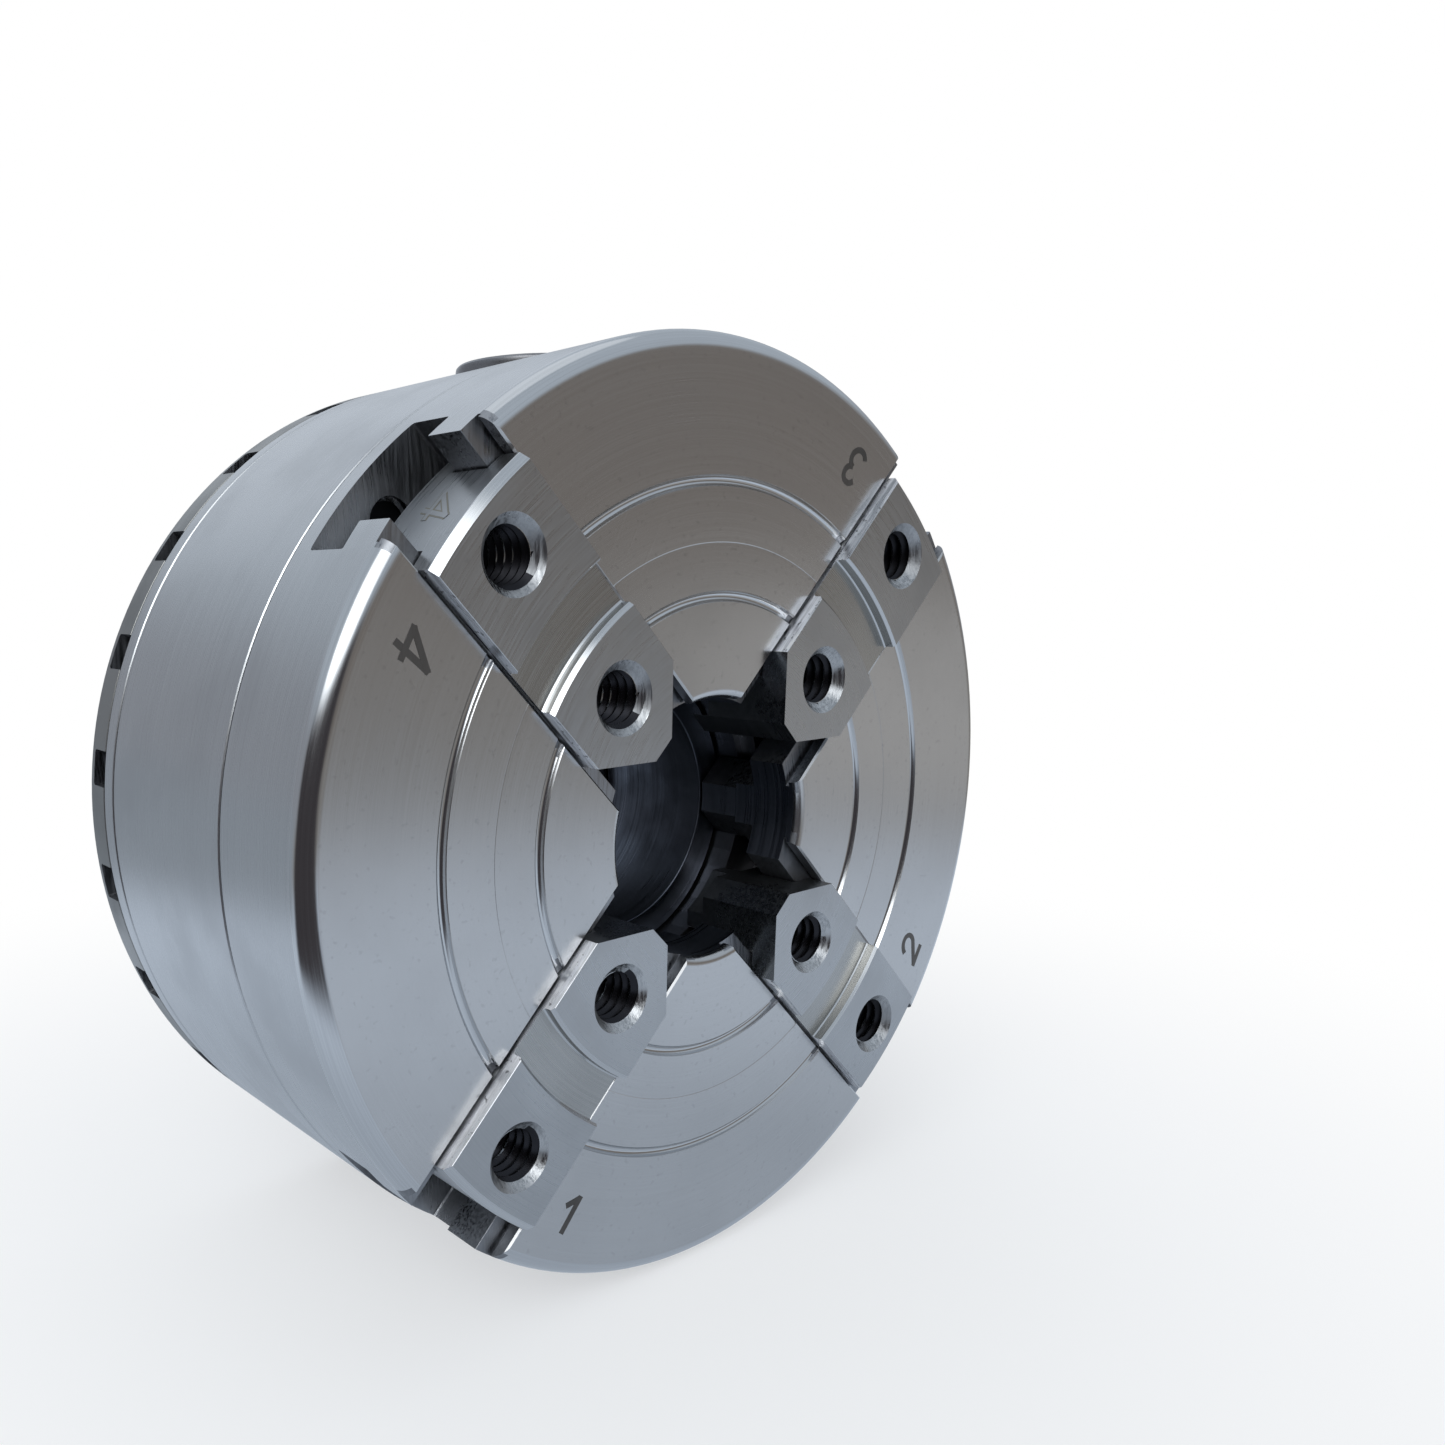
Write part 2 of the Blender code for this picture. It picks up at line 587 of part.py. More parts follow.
def teeth_cutter(angle):
    """Rings that leave teeth midway between the turns of the spiral at this jaw's angle."""
    builder = bmesh.new()
    top = FACE_Z - JAW_BASE_DEPTH
    half = THREAD_W / 2 + 2 * GAP
    first = spiral_radius(angle, 0)
    turns = int((JAW_END + SCROLL_PITCH - first) / SCROLL_PITCH) + 1
    for turn in range(-2, turns):
        centre = first + turn * SCROLL_PITCH
        profile = [(centre - half, top), (centre + half, top),
                   (centre + half, THREAD_ROOT_Z - CUT), (centre - half, THREAD_ROOT_Z - CUT)]
        ring = turned("tooth_space", profile, ROUND)
        builder.from_mesh(ring)
        bpy.data.meshes.remove(ring)
    return finish_mesh(builder, "teeth")


def tap_cutter(radius):
    """Tapping hole with its lead-in chamfer, as one turned plug."""
    top = FACE_Z + PAD_HEIGHT
    wide = TAP_R + TAP_CHAMFER + CUT
    profile = [(0, top + CUT), (wide, top + CUT), (TAP_R, top - TAP_CHAMFER),
               (TAP_R, top - TAP_DEPTH), (0, top - TAP_DEPTH - TAP_R / 2)]
    mesh = turned("tap", profile, FINE // 2)
    mesh.transform(Matrix.Translation((radius, 0, 0)))
    return mesh


# ---- pinions ----

def pinion(name, angle):
    """Bevel pinion: flat head with a square socket, retaining groove, teeth, inner journal."""
    head_top = BODY_R + PINION_PROUD
    inner, outer = TOOTH_FACE
    tip = [(PITCH_SLOPE * r + MESH_DEPTH / 2, r) for r in (outer, inner + GAP)]
    groove_low, groove_high = PIN_RADIUS - PIN_R - GAP, PIN_RADIUS + PIN_R + GAP
    bottom = PINION_R - PIN_GROOVE
    chamfer = 2 * EDGE_CHAMFER
    profile = [(0, head_top), (PINION_R - chamfer, head_top), (PINION_R, head_top - chamfer),
               (PINION_R, groove_high), (bottom, groove_high), (bottom, groove_low),
               (PINION_R, groove_low), (PINION_R, outer + GAP), *tip,
               (PINION_NECK_R, inner + GAP), (PINION_NECK_R, PINION_INNER), (0, PINION_INNER)]
    mesh = turned("pinion", profile, FINE)
    mesh.transform(Matrix.Translation((0, 0, -PINION_Z)))
    obj = add_part("pinion_" + name, mesh, DARK_STEEL)
    place = outward(angle, PINION_Z)
    obj.matrix_local = place @ Matrix.Translation((0, 0, PINION_Z))
    for cutter in (pinion_space_cutter(name), socket_cutter(name, head_top)):
        cutter.matrix_local = place
        cut(obj, cutter)
    return obj


def pinion_space_cutter(name):
    """Tapered spaces between the pinion's teeth; one tooth points to the front."""
    inner, outer = TOOTH_FACE
    builder = bmesh.new()
    for i in range(PINION_TEETH):
        turn = Matrix.Rotation(math.radians(360 * (i + 0.5) / PINION_TEETH), 4, "Z")
        cube = bmesh.ops.create_cube(builder, size=1)["verts"]
        for vert in cube:
            radius = outer + GAP / 2 if vert.co.z > 0 else inner - CUT
            tip = PITCH_SLOPE * radius + MESH_DEPTH / 2
            pitch = math.tau * PITCH_SLOPE * radius / PINION_TEETH
            half = pitch * (0.37 if vert.co.x > 0 else 0.21)
            across = tip + CUT if vert.co.x > 0 else tip - TOOTH_DEPTH
            vert.co = turn @ Vector((across, math.copysign(half, vert.co.y), radius))
    return add_cutter("pinion_spaces_" + name, finish_mesh(builder, "pinion_spaces"))


def socket_cutter(name, head_top):
    builder = bmesh.new()
    half = KEY_AF / 2
    add_block(builder, (-half, -half, head_top - KEY_DEPTH), (half, half, head_top + CUT))
    return add_cutter("key_socket_" + name, finish_mesh(builder, "key_socket"))


def pinion_pin(name, angle):
    """Plain pin behind the pinion, standing in the groove of its head."""
    low = COVER_Z + GAP
    high = PINION_Z - PINION_R + PIN_GROOVE - GAP
    mesh = rods("pinion_pin", PIN_R, low, high, 0, [0])
    turn = math.radians(angle)
    place = (PIN_RADIUS * math.cos(turn), PIN_RADIUS * math.sin(turn), 0)
    return add_part("pinion_pin_" + name, mesh, DARK_STEEL, angle, place)


# ---- screws ----

def cap_screw(name, angle, centre_radius, shank_r, head_r, head_low, head_high, end):
    """Socket head screw, head to the rear."""
    chamfer = EDGE_CHAMFER
    profile = [(0, end), (shank_r - chamfer, end), (shank_r, end - chamfer), (shank_r, head_high),
               (head_r, head_high), (head_r, head_low + chamfer), (head_r - chamfer, head_low),
               (0, head_low)]
    mesh = turned("screw", profile, SMALL)
    turn = math.radians(angle)
    place = (centre_radius * math.cos(turn), centre_radius * math.sin(turn), 0)
    obj = add_part(name, mesh, BLACK_STEEL, angle, place)
    builder = bmesh.new()
    add_rod(builder, head_r * SOCKET_SHARE / math.cos(math.pi / 6), head_low - CUT,
            (head_low + head_high) / 2, sides=6)
    socket = add_cutter(name + "_socket", finish_mesh(builder, "hex_socket"), angle)
    socket.location = place
    cut(obj, socket)
    return obj


def body_screws():
    low = COVER_Z + GAP
    for number, angle in JAW_ANGLES.items():
        cap_screw("body_screw_%d" % number, angle, BODY_SCREW_PCR, M6_R, M6_HEAD_R, low,
                  low + M6_HEAD_H - GAP, FACE_Z - TEE_BACK - BODY_SCREW_SHORT)


def ring_screws():
    high = ring_head_top() - GAP
    for number, angle in enumerate(ring_angles(), 1):
        cap_screw("ring_screw_%d" % number, angle, RING_SCREW_PCR, M5_R, M5_HEAD_R,
                  high - M5_HEAD_H + 2 * GAP, high, COVER_Z + M5_REACH)


def adapter_screws():
    for number, angle in enumerate(adapter_angles(), 1):
        cap_screw("adapter_screw_%d" % number, angle, ADAPTER_SCREW_PCR, M4_R, M4_HEAD_R,
                  GAP, GAP + M4_HEAD_H, COVER_Z + M4_REACH)


clear_scene()
PARTS, CUTTERS = make_collections()
AXIS = make_axis(PARTS)
STEEL = metal("bright_steel", (0.56, 0.56, 0.57), 0.28)
DARK_STEEL = metal("hardened_steel", (0.20, 0.20, 0.21), 0.35)
BLACK_STEEL = metal("black_oxide_steel", (0.04, 0.04, 0.045), 0.45)

front_body()
rear_body()
rear_cover()
index_ring()
spindle_adapter()
scroll_ring()
for jaw_number in JAW_ANGLES:
    jaw(jaw_number)
for side, side_angle in PINION_ANGLES.items():
    pinion(side, side_angle)
    pinion_pin(side, side_angle)
body_screws()
ring_screws()
adapter_screws()
bpy.context.view_layer.update()
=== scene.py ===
# %% [markdown]
# # A four-jaw scroll chuck, finished piece by piece
#
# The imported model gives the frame: every piece at its true size and place, in metres,
# with the bodies that move. This lesson puts a finely modelled piece over each CAD node
# that can be seen, and leaves the hidden ones as they are with a better finish.
# The chuck lies with its axis along Y and its jaws facing -Y.

# %% Load the frame
import math

import bmesh
import bpy
from mathutils import Matrix, Vector


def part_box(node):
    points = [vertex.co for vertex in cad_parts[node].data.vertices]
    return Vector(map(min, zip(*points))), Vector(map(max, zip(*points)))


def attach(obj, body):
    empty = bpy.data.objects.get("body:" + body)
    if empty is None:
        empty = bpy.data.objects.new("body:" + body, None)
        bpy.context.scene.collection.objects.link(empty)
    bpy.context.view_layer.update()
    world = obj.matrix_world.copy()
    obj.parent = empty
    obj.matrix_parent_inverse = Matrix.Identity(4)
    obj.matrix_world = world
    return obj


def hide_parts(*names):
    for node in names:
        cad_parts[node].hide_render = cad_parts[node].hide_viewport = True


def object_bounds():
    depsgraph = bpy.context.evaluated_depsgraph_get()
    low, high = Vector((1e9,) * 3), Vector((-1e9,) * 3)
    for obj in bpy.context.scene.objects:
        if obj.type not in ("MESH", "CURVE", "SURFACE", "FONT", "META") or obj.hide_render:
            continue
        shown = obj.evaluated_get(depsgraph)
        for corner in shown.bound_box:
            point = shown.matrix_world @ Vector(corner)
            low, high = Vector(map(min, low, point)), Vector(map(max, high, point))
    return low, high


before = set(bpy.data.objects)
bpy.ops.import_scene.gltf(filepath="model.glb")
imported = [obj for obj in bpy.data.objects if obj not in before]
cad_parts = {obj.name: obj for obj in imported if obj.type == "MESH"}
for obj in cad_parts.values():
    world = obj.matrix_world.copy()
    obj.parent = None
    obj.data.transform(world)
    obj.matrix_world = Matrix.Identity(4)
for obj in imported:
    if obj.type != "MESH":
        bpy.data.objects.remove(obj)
cad_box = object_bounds()
print("CAD box, mm:", [round(1000 * v, 1) for corner in cad_box for v in corner])

# %% [markdown]
# ## Sizes
#
# The frame is measured for the sizes that place things. A lathe hand thinks of a chuck
# along its axis, so heights here are counted from the rear register face towards the jaws,
# and every piece is drawn with its axis along Z. One matrix, LAY, then lays it down along Y.
# The small sizes that the CAD nodes share are repeated here as given numbers.

# %% Measure the frame
LAY = Matrix.Rotation(math.pi / 2, 4, "X")
MM = 0.001


def heights(node):
    """Lowest and highest point of a CAD node along the chuck's axis."""
    low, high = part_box(node)
    return -high.y, -low.y


def radius_of(node):
    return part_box(node)[1].x


GAP = 0.3 * MM                                   # running clearance
BODY_R = radius_of("front_body")
SPLIT_Z, FACE_Z = heights("front_body")
SPLIT_Z -= GAP / 2
COVER_Z = heights("rear_body")[0] - GAP / 2
INDEX_Z = heights("index_ring")[1] + GAP / 2
ADAPTER_TOP = heights("spindle_adapter")[1]
FLANGE_R = radius_of("spindle_adapter")
PAD_Z = heights("jaw_1")[1]
TOOTH_LOW_Z = heights("jaw_1")[0]
PINION_Z = SPLIT_Z - 17.0 * MM
print("body radius %.1f mm, face %.1f mm above the register" % (BODY_R / MM, FACE_Z / MM))

# %% Sizes shared with the CAD nodes
JAW_ANGLES = {1: 225, 2: 315, 3: 45, 4: 135}     # seen from the front
BORE_R = 17.6 * MM
HUB_R = 22.0 * MM
CAVITY_R = 51.5 * MM
SLOT_HW, TONGUE_HW, TEE_HW = 9.0 * MM, 6.5 * MM, 10.2 * MM
LEDGE_Z = FACE_Z - 2.3 * MM
TONGUE_Z = FACE_Z - 8.4 * MM
TEE_Z = FACE_Z - 15.6 * MM
THREAD_TOP_Z = FACE_Z - 12.4 * MM
BASE_Z = FACE_Z - 11.8 * MM
JAW_TIP, JAW_END = 17.2 * MM, 57.5 * MM
SCREW_R = 56.4 * MM                              # circle of the body screws
RING_SCREW_R = 50.0 * MM
ADAPTER_SCREW_R = 26.2 * MM
ADAPTER_R = 20.5 * MM
INDEX_BORE_R = 42.0 * MM
TOOTH_FACE = (36.2 * MM, 45.2 * MM)
ROUND, FINE = 192, 64                            # sides of big and small turned shapes
CUT = 1.0 * MM                                   # how far a cutter reaches past a face

# %% [markdown]
# ## Helpers for turning, milling and threading
#
# Almost everything on a chuck is turned on a lathe or milled in a straight line. The same
# two moves make the meshes: a turned shape is an outline spun round the axis, and a milled
# one is a cross section pushed along a line. No real edge is perfectly sharp, so each
# outline point can carry a third number, the size of the rounding at that corner. Rounding
# the outline is cheaper and cleaner than bevelling the finished mesh.

# %% Round the corners of an outline
def softened(corners, steps=3, closed=True):
    """Outline points, with each (x, y, size) corner replaced by a small curve."""
    points = []
    count = len(corners)
    for i, corner in enumerate(corners):
        here = Vector(corner[:2])
        size = corner[2] if len(corner) > 2 else 0
        if not size or (not closed and i in (0, count - 1)):
            points.append(here)
            continue
        before, after = Vector(corners[i - 1][:2]), Vector(corners[(i + 1) % count][:2])
        start = here + (before - here).normalized() * min(size, 0.48 * (before - here).length)
        end = here + (after - here).normalized() * min(size, 0.48 * (after - here).length)
        for step in range(steps + 1):
            t = step / steps
            points.append(start * (1 - t) ** 2 + here * (2 * t * (1 - t)) + end * t * t)
    return points


def arc(centre, radius, start, end, steps):
    """Points on an arc in the (radius, height) plane; angles in degrees."""
    turn = [math.radians(start + (end - start) * i / steps) for i in range(steps + 1)]
    return [(centre[0] + radius * math.cos(a), centre[1] + radius * math.sin(a)) for a in turn]


# %% Spin an outline, or push a section along a line
def tidy(builder, distance=1e-7):
    bmesh.ops.remove_doubles(builder, verts=builder.verts, dist=distance)
    bmesh.ops.recalc_face_normals(builder, faces=builder.faces)
    return builder


def turned(corners, sides=ROUND):
    """A turned solid. An outline that starts and ends on the axis is left open there."""
    open_ended = corners[0][0] == 0 and corners[-1][0] == 0
    points = softened(corners, closed=not open_ended)
    builder = bmesh.new()
    verts = [builder.verts.new((p[0], 0, p[1])) for p in points]
    after = verts[1:] if open_ended else verts[1:] + verts[:1]
    edges = [builder.edges.new(pair) for pair in zip(verts, after)]
    bmesh.ops.spin(builder, geom=verts + edges, cent=(0, 0, 0), axis=(0, 0, 1), dvec=(0, 0, 0),
                   angle=math.tau, steps=sides, use_merge=True)
    return tidy(builder)


def verts_in(made):
    """The vertices among what an extrusion made."""
    return [v for v in made["geom"] if isinstance(v, bmesh.types.BMVert)]


def milled(section, low, high):
    """A section of (width, height) points pushed outwards along X."""
    builder = bmesh.new()
    face = builder.faces.new([builder.verts.new((low, p[0], p[1])) for p in softened(section)])
    made = bmesh.ops.extrude_face_region(builder, geom=[face])
    bmesh.ops.translate(builder, verts=verts_in(made), vec=(high - low, 0, 0))
    return tidy(builder)


def mirrored(half):
    """A closed section from its right half, listed from the top down."""
    return half + [(-p[0], *p[1:]) for p in reversed(half)]


def block(low, high):
    builder = bmesh.new()
    low, high = Vector(low), Vector(high)
    bmesh.ops.create_cube(builder, size=1)
    bmesh.ops.scale(builder, verts=builder.verts, vec=high - low)
    bmesh.ops.translate(builder, verts=builder.verts, vec=(low + high) / 2)
    return builder


def rod(radius, low, high, sides=FINE):
    return turned([(0, high), (radius, high), (radius, low), (0, low)], sides)


# %% Place a shape, and repeat it round the axis
def moved(builder, matrix):
    bmesh.ops.transform(builder, matrix=matrix, verts=builder.verts)
    return builder


def about_axis(angle):
    return Matrix.Rotation(math.radians(angle), 4, "Z")


def out_at(radius, angle=0.0):
    return about_axis(angle) @ Matrix.Translation((radius, 0, 0))


def outward(angle):
    """Turns a shape drawn along Z so that it points straight out, at the pinions' height."""
    lift = Matrix.Translation((0, 0, PINION_Z))
    return about_axis(angle) @ lift @ Matrix.Rotation(math.pi / 2, 4, "Y")


def added(together, builder, places):
    """Copies a shape into another mesh at each place; the copies don't touch."""
    mesh = bpy.data.meshes.new("copy")
    builder.to_mesh(mesh)
    builder.free()
    for place in places:
        mesh.transform(place)
        together.from_mesh(mesh)
        mesh.transform(place.inverted())
    bpy.data.meshes.remove(mesh)
    return together


def repeated(builder, places):
    return added(bmesh.new(), builder, places)


def drilled(radius, low, high, places, sides=32):
    """Plain round cutters along Z, one at each place."""
    return repeated(rod(radius, low, high, sides), places)


# %% [markdown]
# ### Carving
#
# Slots, notches and holes are cut as in the workshop: a cutter's shape is taken out of the
# blank. Blender's Boolean modifier does it, and the result is applied at once so that no
# cutter stays in the scene.

# %% Take cutters out of a blank
def as_object(builder, name):
    mesh = bpy.data.meshes.new(name)
    builder.to_mesh(mesh)
    builder.free()
    obj = bpy.data.objects.new(name, mesh)
    bpy.context.scene.collection.objects.link(obj)
    return obj


def carved(blank, *cutters):
    """The blank with every cutter's shape taken away."""
    body = as_object(blank, "blank")
    tools = [as_object(cutter, "cutter") for cutter in cutters]
    for tool in tools:
        boolean = body.modifiers.new("carve", "BOOLEAN")
        boolean.solver = "EXACT"
        boolean.object = tool
    graph = bpy.context.evaluated_depsgraph_get()
    result = bmesh.new()
    result.from_object(body, graph)
    for obj in (body, *tools):
        bpy.data.meshes.remove(obj.data)
    if not result.faces:
        raise ValueError("a cut took the whole piece away")
    return result


# %% [markdown]
# ### Threads
#
# A tapped hole shows its thread in the light, so it is cut for real. The tap is a zigzag
# outline spun once round the axis while it climbs by one pitch. After a full turn each
# tooth lands on the next one, and merging the doubles joins the helix. The two open ends
# are drawn to a point.

# %% Make a tap
def tap(major, minor, pitch, low, high, sides=32):
    """A threaded cutter from low to high along Z, pointed at both ends."""
    builder = bmesh.new()
    turns = round((high - low) / pitch)
    tooth = ((minor, 0), (minor, 0.16), (major, 0.54), (major, 0.62))
    outline = [(r, low + (i + up) * pitch) for i in range(turns) for r, up in tooth]
    verts = [builder.verts.new((r, 0, z)) for r, z in outline]
    edges = [builder.edges.new(pair) for pair in zip(verts, verts[1:])]
    bmesh.ops.spin(builder, geom=verts + edges, cent=(0, 0, 0), axis=(0, 0, 1),
                   dvec=(0, 0, pitch / sides), angle=math.tau, steps=sides, use_merge=False)
    bmesh.ops.remove_doubles(builder, verts=builder.verts, dist=2e-6)
    middle = (low + high) / 2
    for sign, point in ((1, high + 2 * pitch), (-1, low - minor / 2)):
        rim = [e for e in builder.edges if e.is_boundary
               and (e.verts[0].co.z - middle) * sign > 0]
        made = bmesh.ops.extrude_edge_only(builder, edges=rim)
        bmesh.ops.pointmerge(builder, verts=verts_in(made), merge_co=(0, 0, point))
    return tidy(builder, 1e-6)


# %% Finish a piece and hang it on its body
CREASE = math.radians(30)                        # a sharper fold shows as an edge


def finished(builder, name, body, materials, stands_for=(), finish_of=None,
             place=Matrix.Identity(4)):
    """Gives the shape its finishes, sets it in its place, lays it along Y and lets it ride.

    finish_of picks one of the materials for each face, from where it is in the piece.
    """
    for face in builder.faces if finish_of else ():
        middle = face.calc_center_median()
        chosen = finish_of(face, middle, math.hypot(middle.x, middle.y))
        face.material_index = materials.index(chosen)
    moved(builder, place)
    moved(builder, LAY)
    mesh = bpy.data.meshes.new(name)
    builder.to_mesh(mesh)
    builder.free()
    for material in materials:
        mesh.materials.append(material)
    mesh.shade_smooth()
    mesh.set_sharp_from_angle(angle=CREASE)
    obj = bpy.data.objects.new(name, mesh)
    bpy.context.scene.collection.objects.link(obj)
    weighted = obj.modifiers.new("flat faces stay flat", "WEIGHTED_NORMAL")
    weighted.mode, weighted.keep_sharp = "FACE_AREA", True
    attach(obj, body)
    if stands_for:
        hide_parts(*stands_for)
    print("%s: %d faces" % (name, len(mesh.polygons)))


# %% [markdown]
# ## Finishes
#
# Machined steel owes its look to its tool marks. Three small node groups draw them, as
# numbers from 0 to 1 that a material turns into height, colour and roughness. Lathe marks
# run in rings and grinding marks in straight lines. The third group holds what use leaves:
# fine scratches, specks and soft patches of grime. Each is built once and shared.

# %% A short way to write node trees
class Tree:
    """Adds nodes and links them; a value in place of a link sets the socket."""

    def __init__(self, nodes, links):
        self.nodes, self.links = nodes, links

    def add(self, kind, inputs=None, **settings):
        node = self.nodes.new(kind)
        for key, value in settings.items():
            setattr(node, key, value)
        for key, value in (inputs or {}).items():
            self.feed(node.inputs[key], value)
        return node

    def feed(self, socket, value):
        if isinstance(value, bpy.types.NodeSocket):
            self.links.new(value, socket)
        else:
            socket.default_value = value

    def math(self, operation, *values):
        node = self.add("ShaderNodeMath", operation=operation)
        for socket, value in zip(node.inputs, values):
            self.feed(socket, value)
        return node.outputs[0]

    def vector(self, operation, *values):
        node = self.add("ShaderNodeVectorMath", dict(enumerate(values)), operation=operation)
        number = operation in ("LENGTH", "DOT_PRODUCT")
        return node.outputs["Value" if number else "Vector"]

    def noise(self, point, scale, detail=2.0, roughness=0.5, fourth=None):
        """Soft noise at a point, which may have a fourth coordinate."""
        node = self.add("ShaderNodeTexNoise", {"Vector": point, "Scale": scale, "Detail": detail,
                                               "Roughness": roughness},
                        noise_dimensions="3D" if fourth is None else "4D")
        if fourth is not None:
            self.feed(node.inputs["W"], fourth)
        return node.outputs["Fac"]

    def rotated(self, point, angle):
        return self.add("ShaderNodeVectorRotate", {"Vector": point, "Angle": angle},
                        rotation_type="Y_AXIS").outputs[0]

    def facing(self, direction, target, low, high):
        """Rises from 0 to 1 as a direction turns towards a target."""
        return self.ramp(self.vector("DOT_PRODUCT", direction, target), low, high)

    def times(self, first, second):
        return self.math("MULTIPLY", first, second)

    def split(self, point):
        return self.add("ShaderNodeSeparateXYZ", {"Vector": point}).outputs

    def point(self, x, y, z):
        return self.add("ShaderNodeCombineXYZ", {"X": x, "Y": y, "Z": z}).outputs[0]

    def ramp(self, value, low, high, to_low=0.0, to_high=1.0):
        """Brings a range of values to another one, with a soft start and end."""
        node = self.add("ShaderNodeMapRange", {"Value": value, "From Min": low, "From Max": high,
                                               "To Min": to_low, "To Max": to_high})
        node.interpolation_type = "SMOOTHSTEP"
        return node.outputs[0]

    def tint(self, factor, first, second):
        node = self.add("ShaderNodeMix", data_type="RGBA")
        self.feed(node.inputs["Factor"], factor)
        self.feed(node.inputs["A"], first)
        self.feed(node.inputs["B"], second)
        return node.outputs["Result"]


def new_group(name, inputs, outputs):
    """An empty node group with named sockets, its tree, and its two end nodes."""
    group = bpy.data.node_groups.new(name, "ShaderNodeTree")
    for label, default in inputs.items():
        socket = group.interface.new_socket(label, in_out="INPUT", socket_type="NodeSocketFloat")
        socket.default_value = default
    for label in outputs:
        group.interface.new_socket(label, in_out="OUTPUT", socket_type="NodeSocketFloat")
    tree = Tree(group.nodes, group.links)
    start, end = tree.add("NodeGroupInput"), tree.add("NodeGroupOutput")
    place = tree.add("ShaderNodeTexCoord").outputs["Object"]
    return group, tree, start.outputs, end.inputs, place


# %% Lathe marks
def lathe_marks():
    """Fine rings on faces and round lines on outside surfaces, about the Y axis.

    Noise is looked up by the distance from the axis and the place along it, and by the
    direction round the axis only a little, so each line runs a long way round.
    """
    group, tree, given, out, place = new_group(
        "lathe marks", {"Lines per mm": 6.0, "Wander": 1.5}, ("Height", "Bands"))
    split = tree.split(place)
    flat = tree.point(split["X"], 0.0, split["Z"])
    distance, heading = tree.vector("LENGTH", flat), tree.split(tree.vector("NORMALIZE", flat))
    per_metre = tree.times(given["Lines per mm"], 1000.0)
    across = tree.times(tree.math("ADD", distance, split["Y"]), per_metre)
    along = tree.times(tree.math("SUBTRACT", distance, split["Y"]), per_metre)
    turn_x = tree.times(heading["X"], given["Wander"])
    turn_z = tree.times(heading["Z"], given["Wander"])
    point = tree.point(across, turn_x, turn_z)
    tree.feed(out["Height"], tree.noise(point, 1.0, 2.0, 0.6, along))
    tree.feed(out["Bands"], tree.noise(point, 0.09, 1.0, fourth=along))
    return group


# %% Grinding marks
def grinding_marks():
    """Straight lines across a jaw. Angle turns them about Y, and Waviness bends them."""
    group, tree, given, out, place = new_group(
        "grinding marks", {"Lines per mm": 5.0, "Angle": 0.0, "Waviness": 0.4},
        ("Height", "Deep lines"))
    bend = tree.noise(place, 60.0)
    split = tree.split(tree.rotated(place, given["Angle"]))
    shift = tree.times(tree.times(bend, given["Waviness"]), MM)
    per_metre = tree.times(given["Lines per mm"], 1000.0)
    across = tree.times(tree.math("ADD", split["X"], shift), per_metre)
    point = tree.point(across, tree.times(split["Y"], per_metre), tree.times(split["Z"], 90.0))
    tree.feed(out["Height"], tree.noise(point, 1.0, 3.0, 0.65))
    tree.feed(out["Deep lines"], tree.ramp(tree.noise(point, 0.45, 1.0), 0.60, 0.72))
    return group


# %% Fine scratches and grime
def scratches():
    """Sparse handling scratches, specks where a tool has plucked the steel, and grime."""
    group, tree, _, out, place = new_group(
        "scratches and specks", {}, ("Scratch", "Specks", "Grime"))
    lines = []
    for angle, seed in ((0.6, 0.0), (-0.5, 7.0), (1.4, 13.0)):
        stretched = tree.add("ShaderNodeMapping", {"Vector": tree.rotated(place, angle),
                                                   "Location": (seed, seed, seed),
                                                   "Scale": (1600.0, 1600.0, 55.0)}).outputs[0]
        lines.append(tree.ramp(tree.noise(stretched, 1.0, 0.0), 0.83, 0.88))
    most = tree.math("MAXIMUM", tree.math("MAXIMUM", lines[0], lines[1]), lines[2])
    tree.feed(out["Scratch"], most)
    tree.feed(out["Specks"], tree.ramp(tree.noise(place, 1300.0), 0.62, 0.70))
    tree.feed(out["Grime"], tree.ramp(tree.noise(place, 70.0, 4.0), 0.40, 0.75))
    return group


LATHE, GRIND, SCRATCH = lathe_marks(), grinding_marks(), scratches()
print("node groups:", [g.name for g in bpy.data.node_groups])
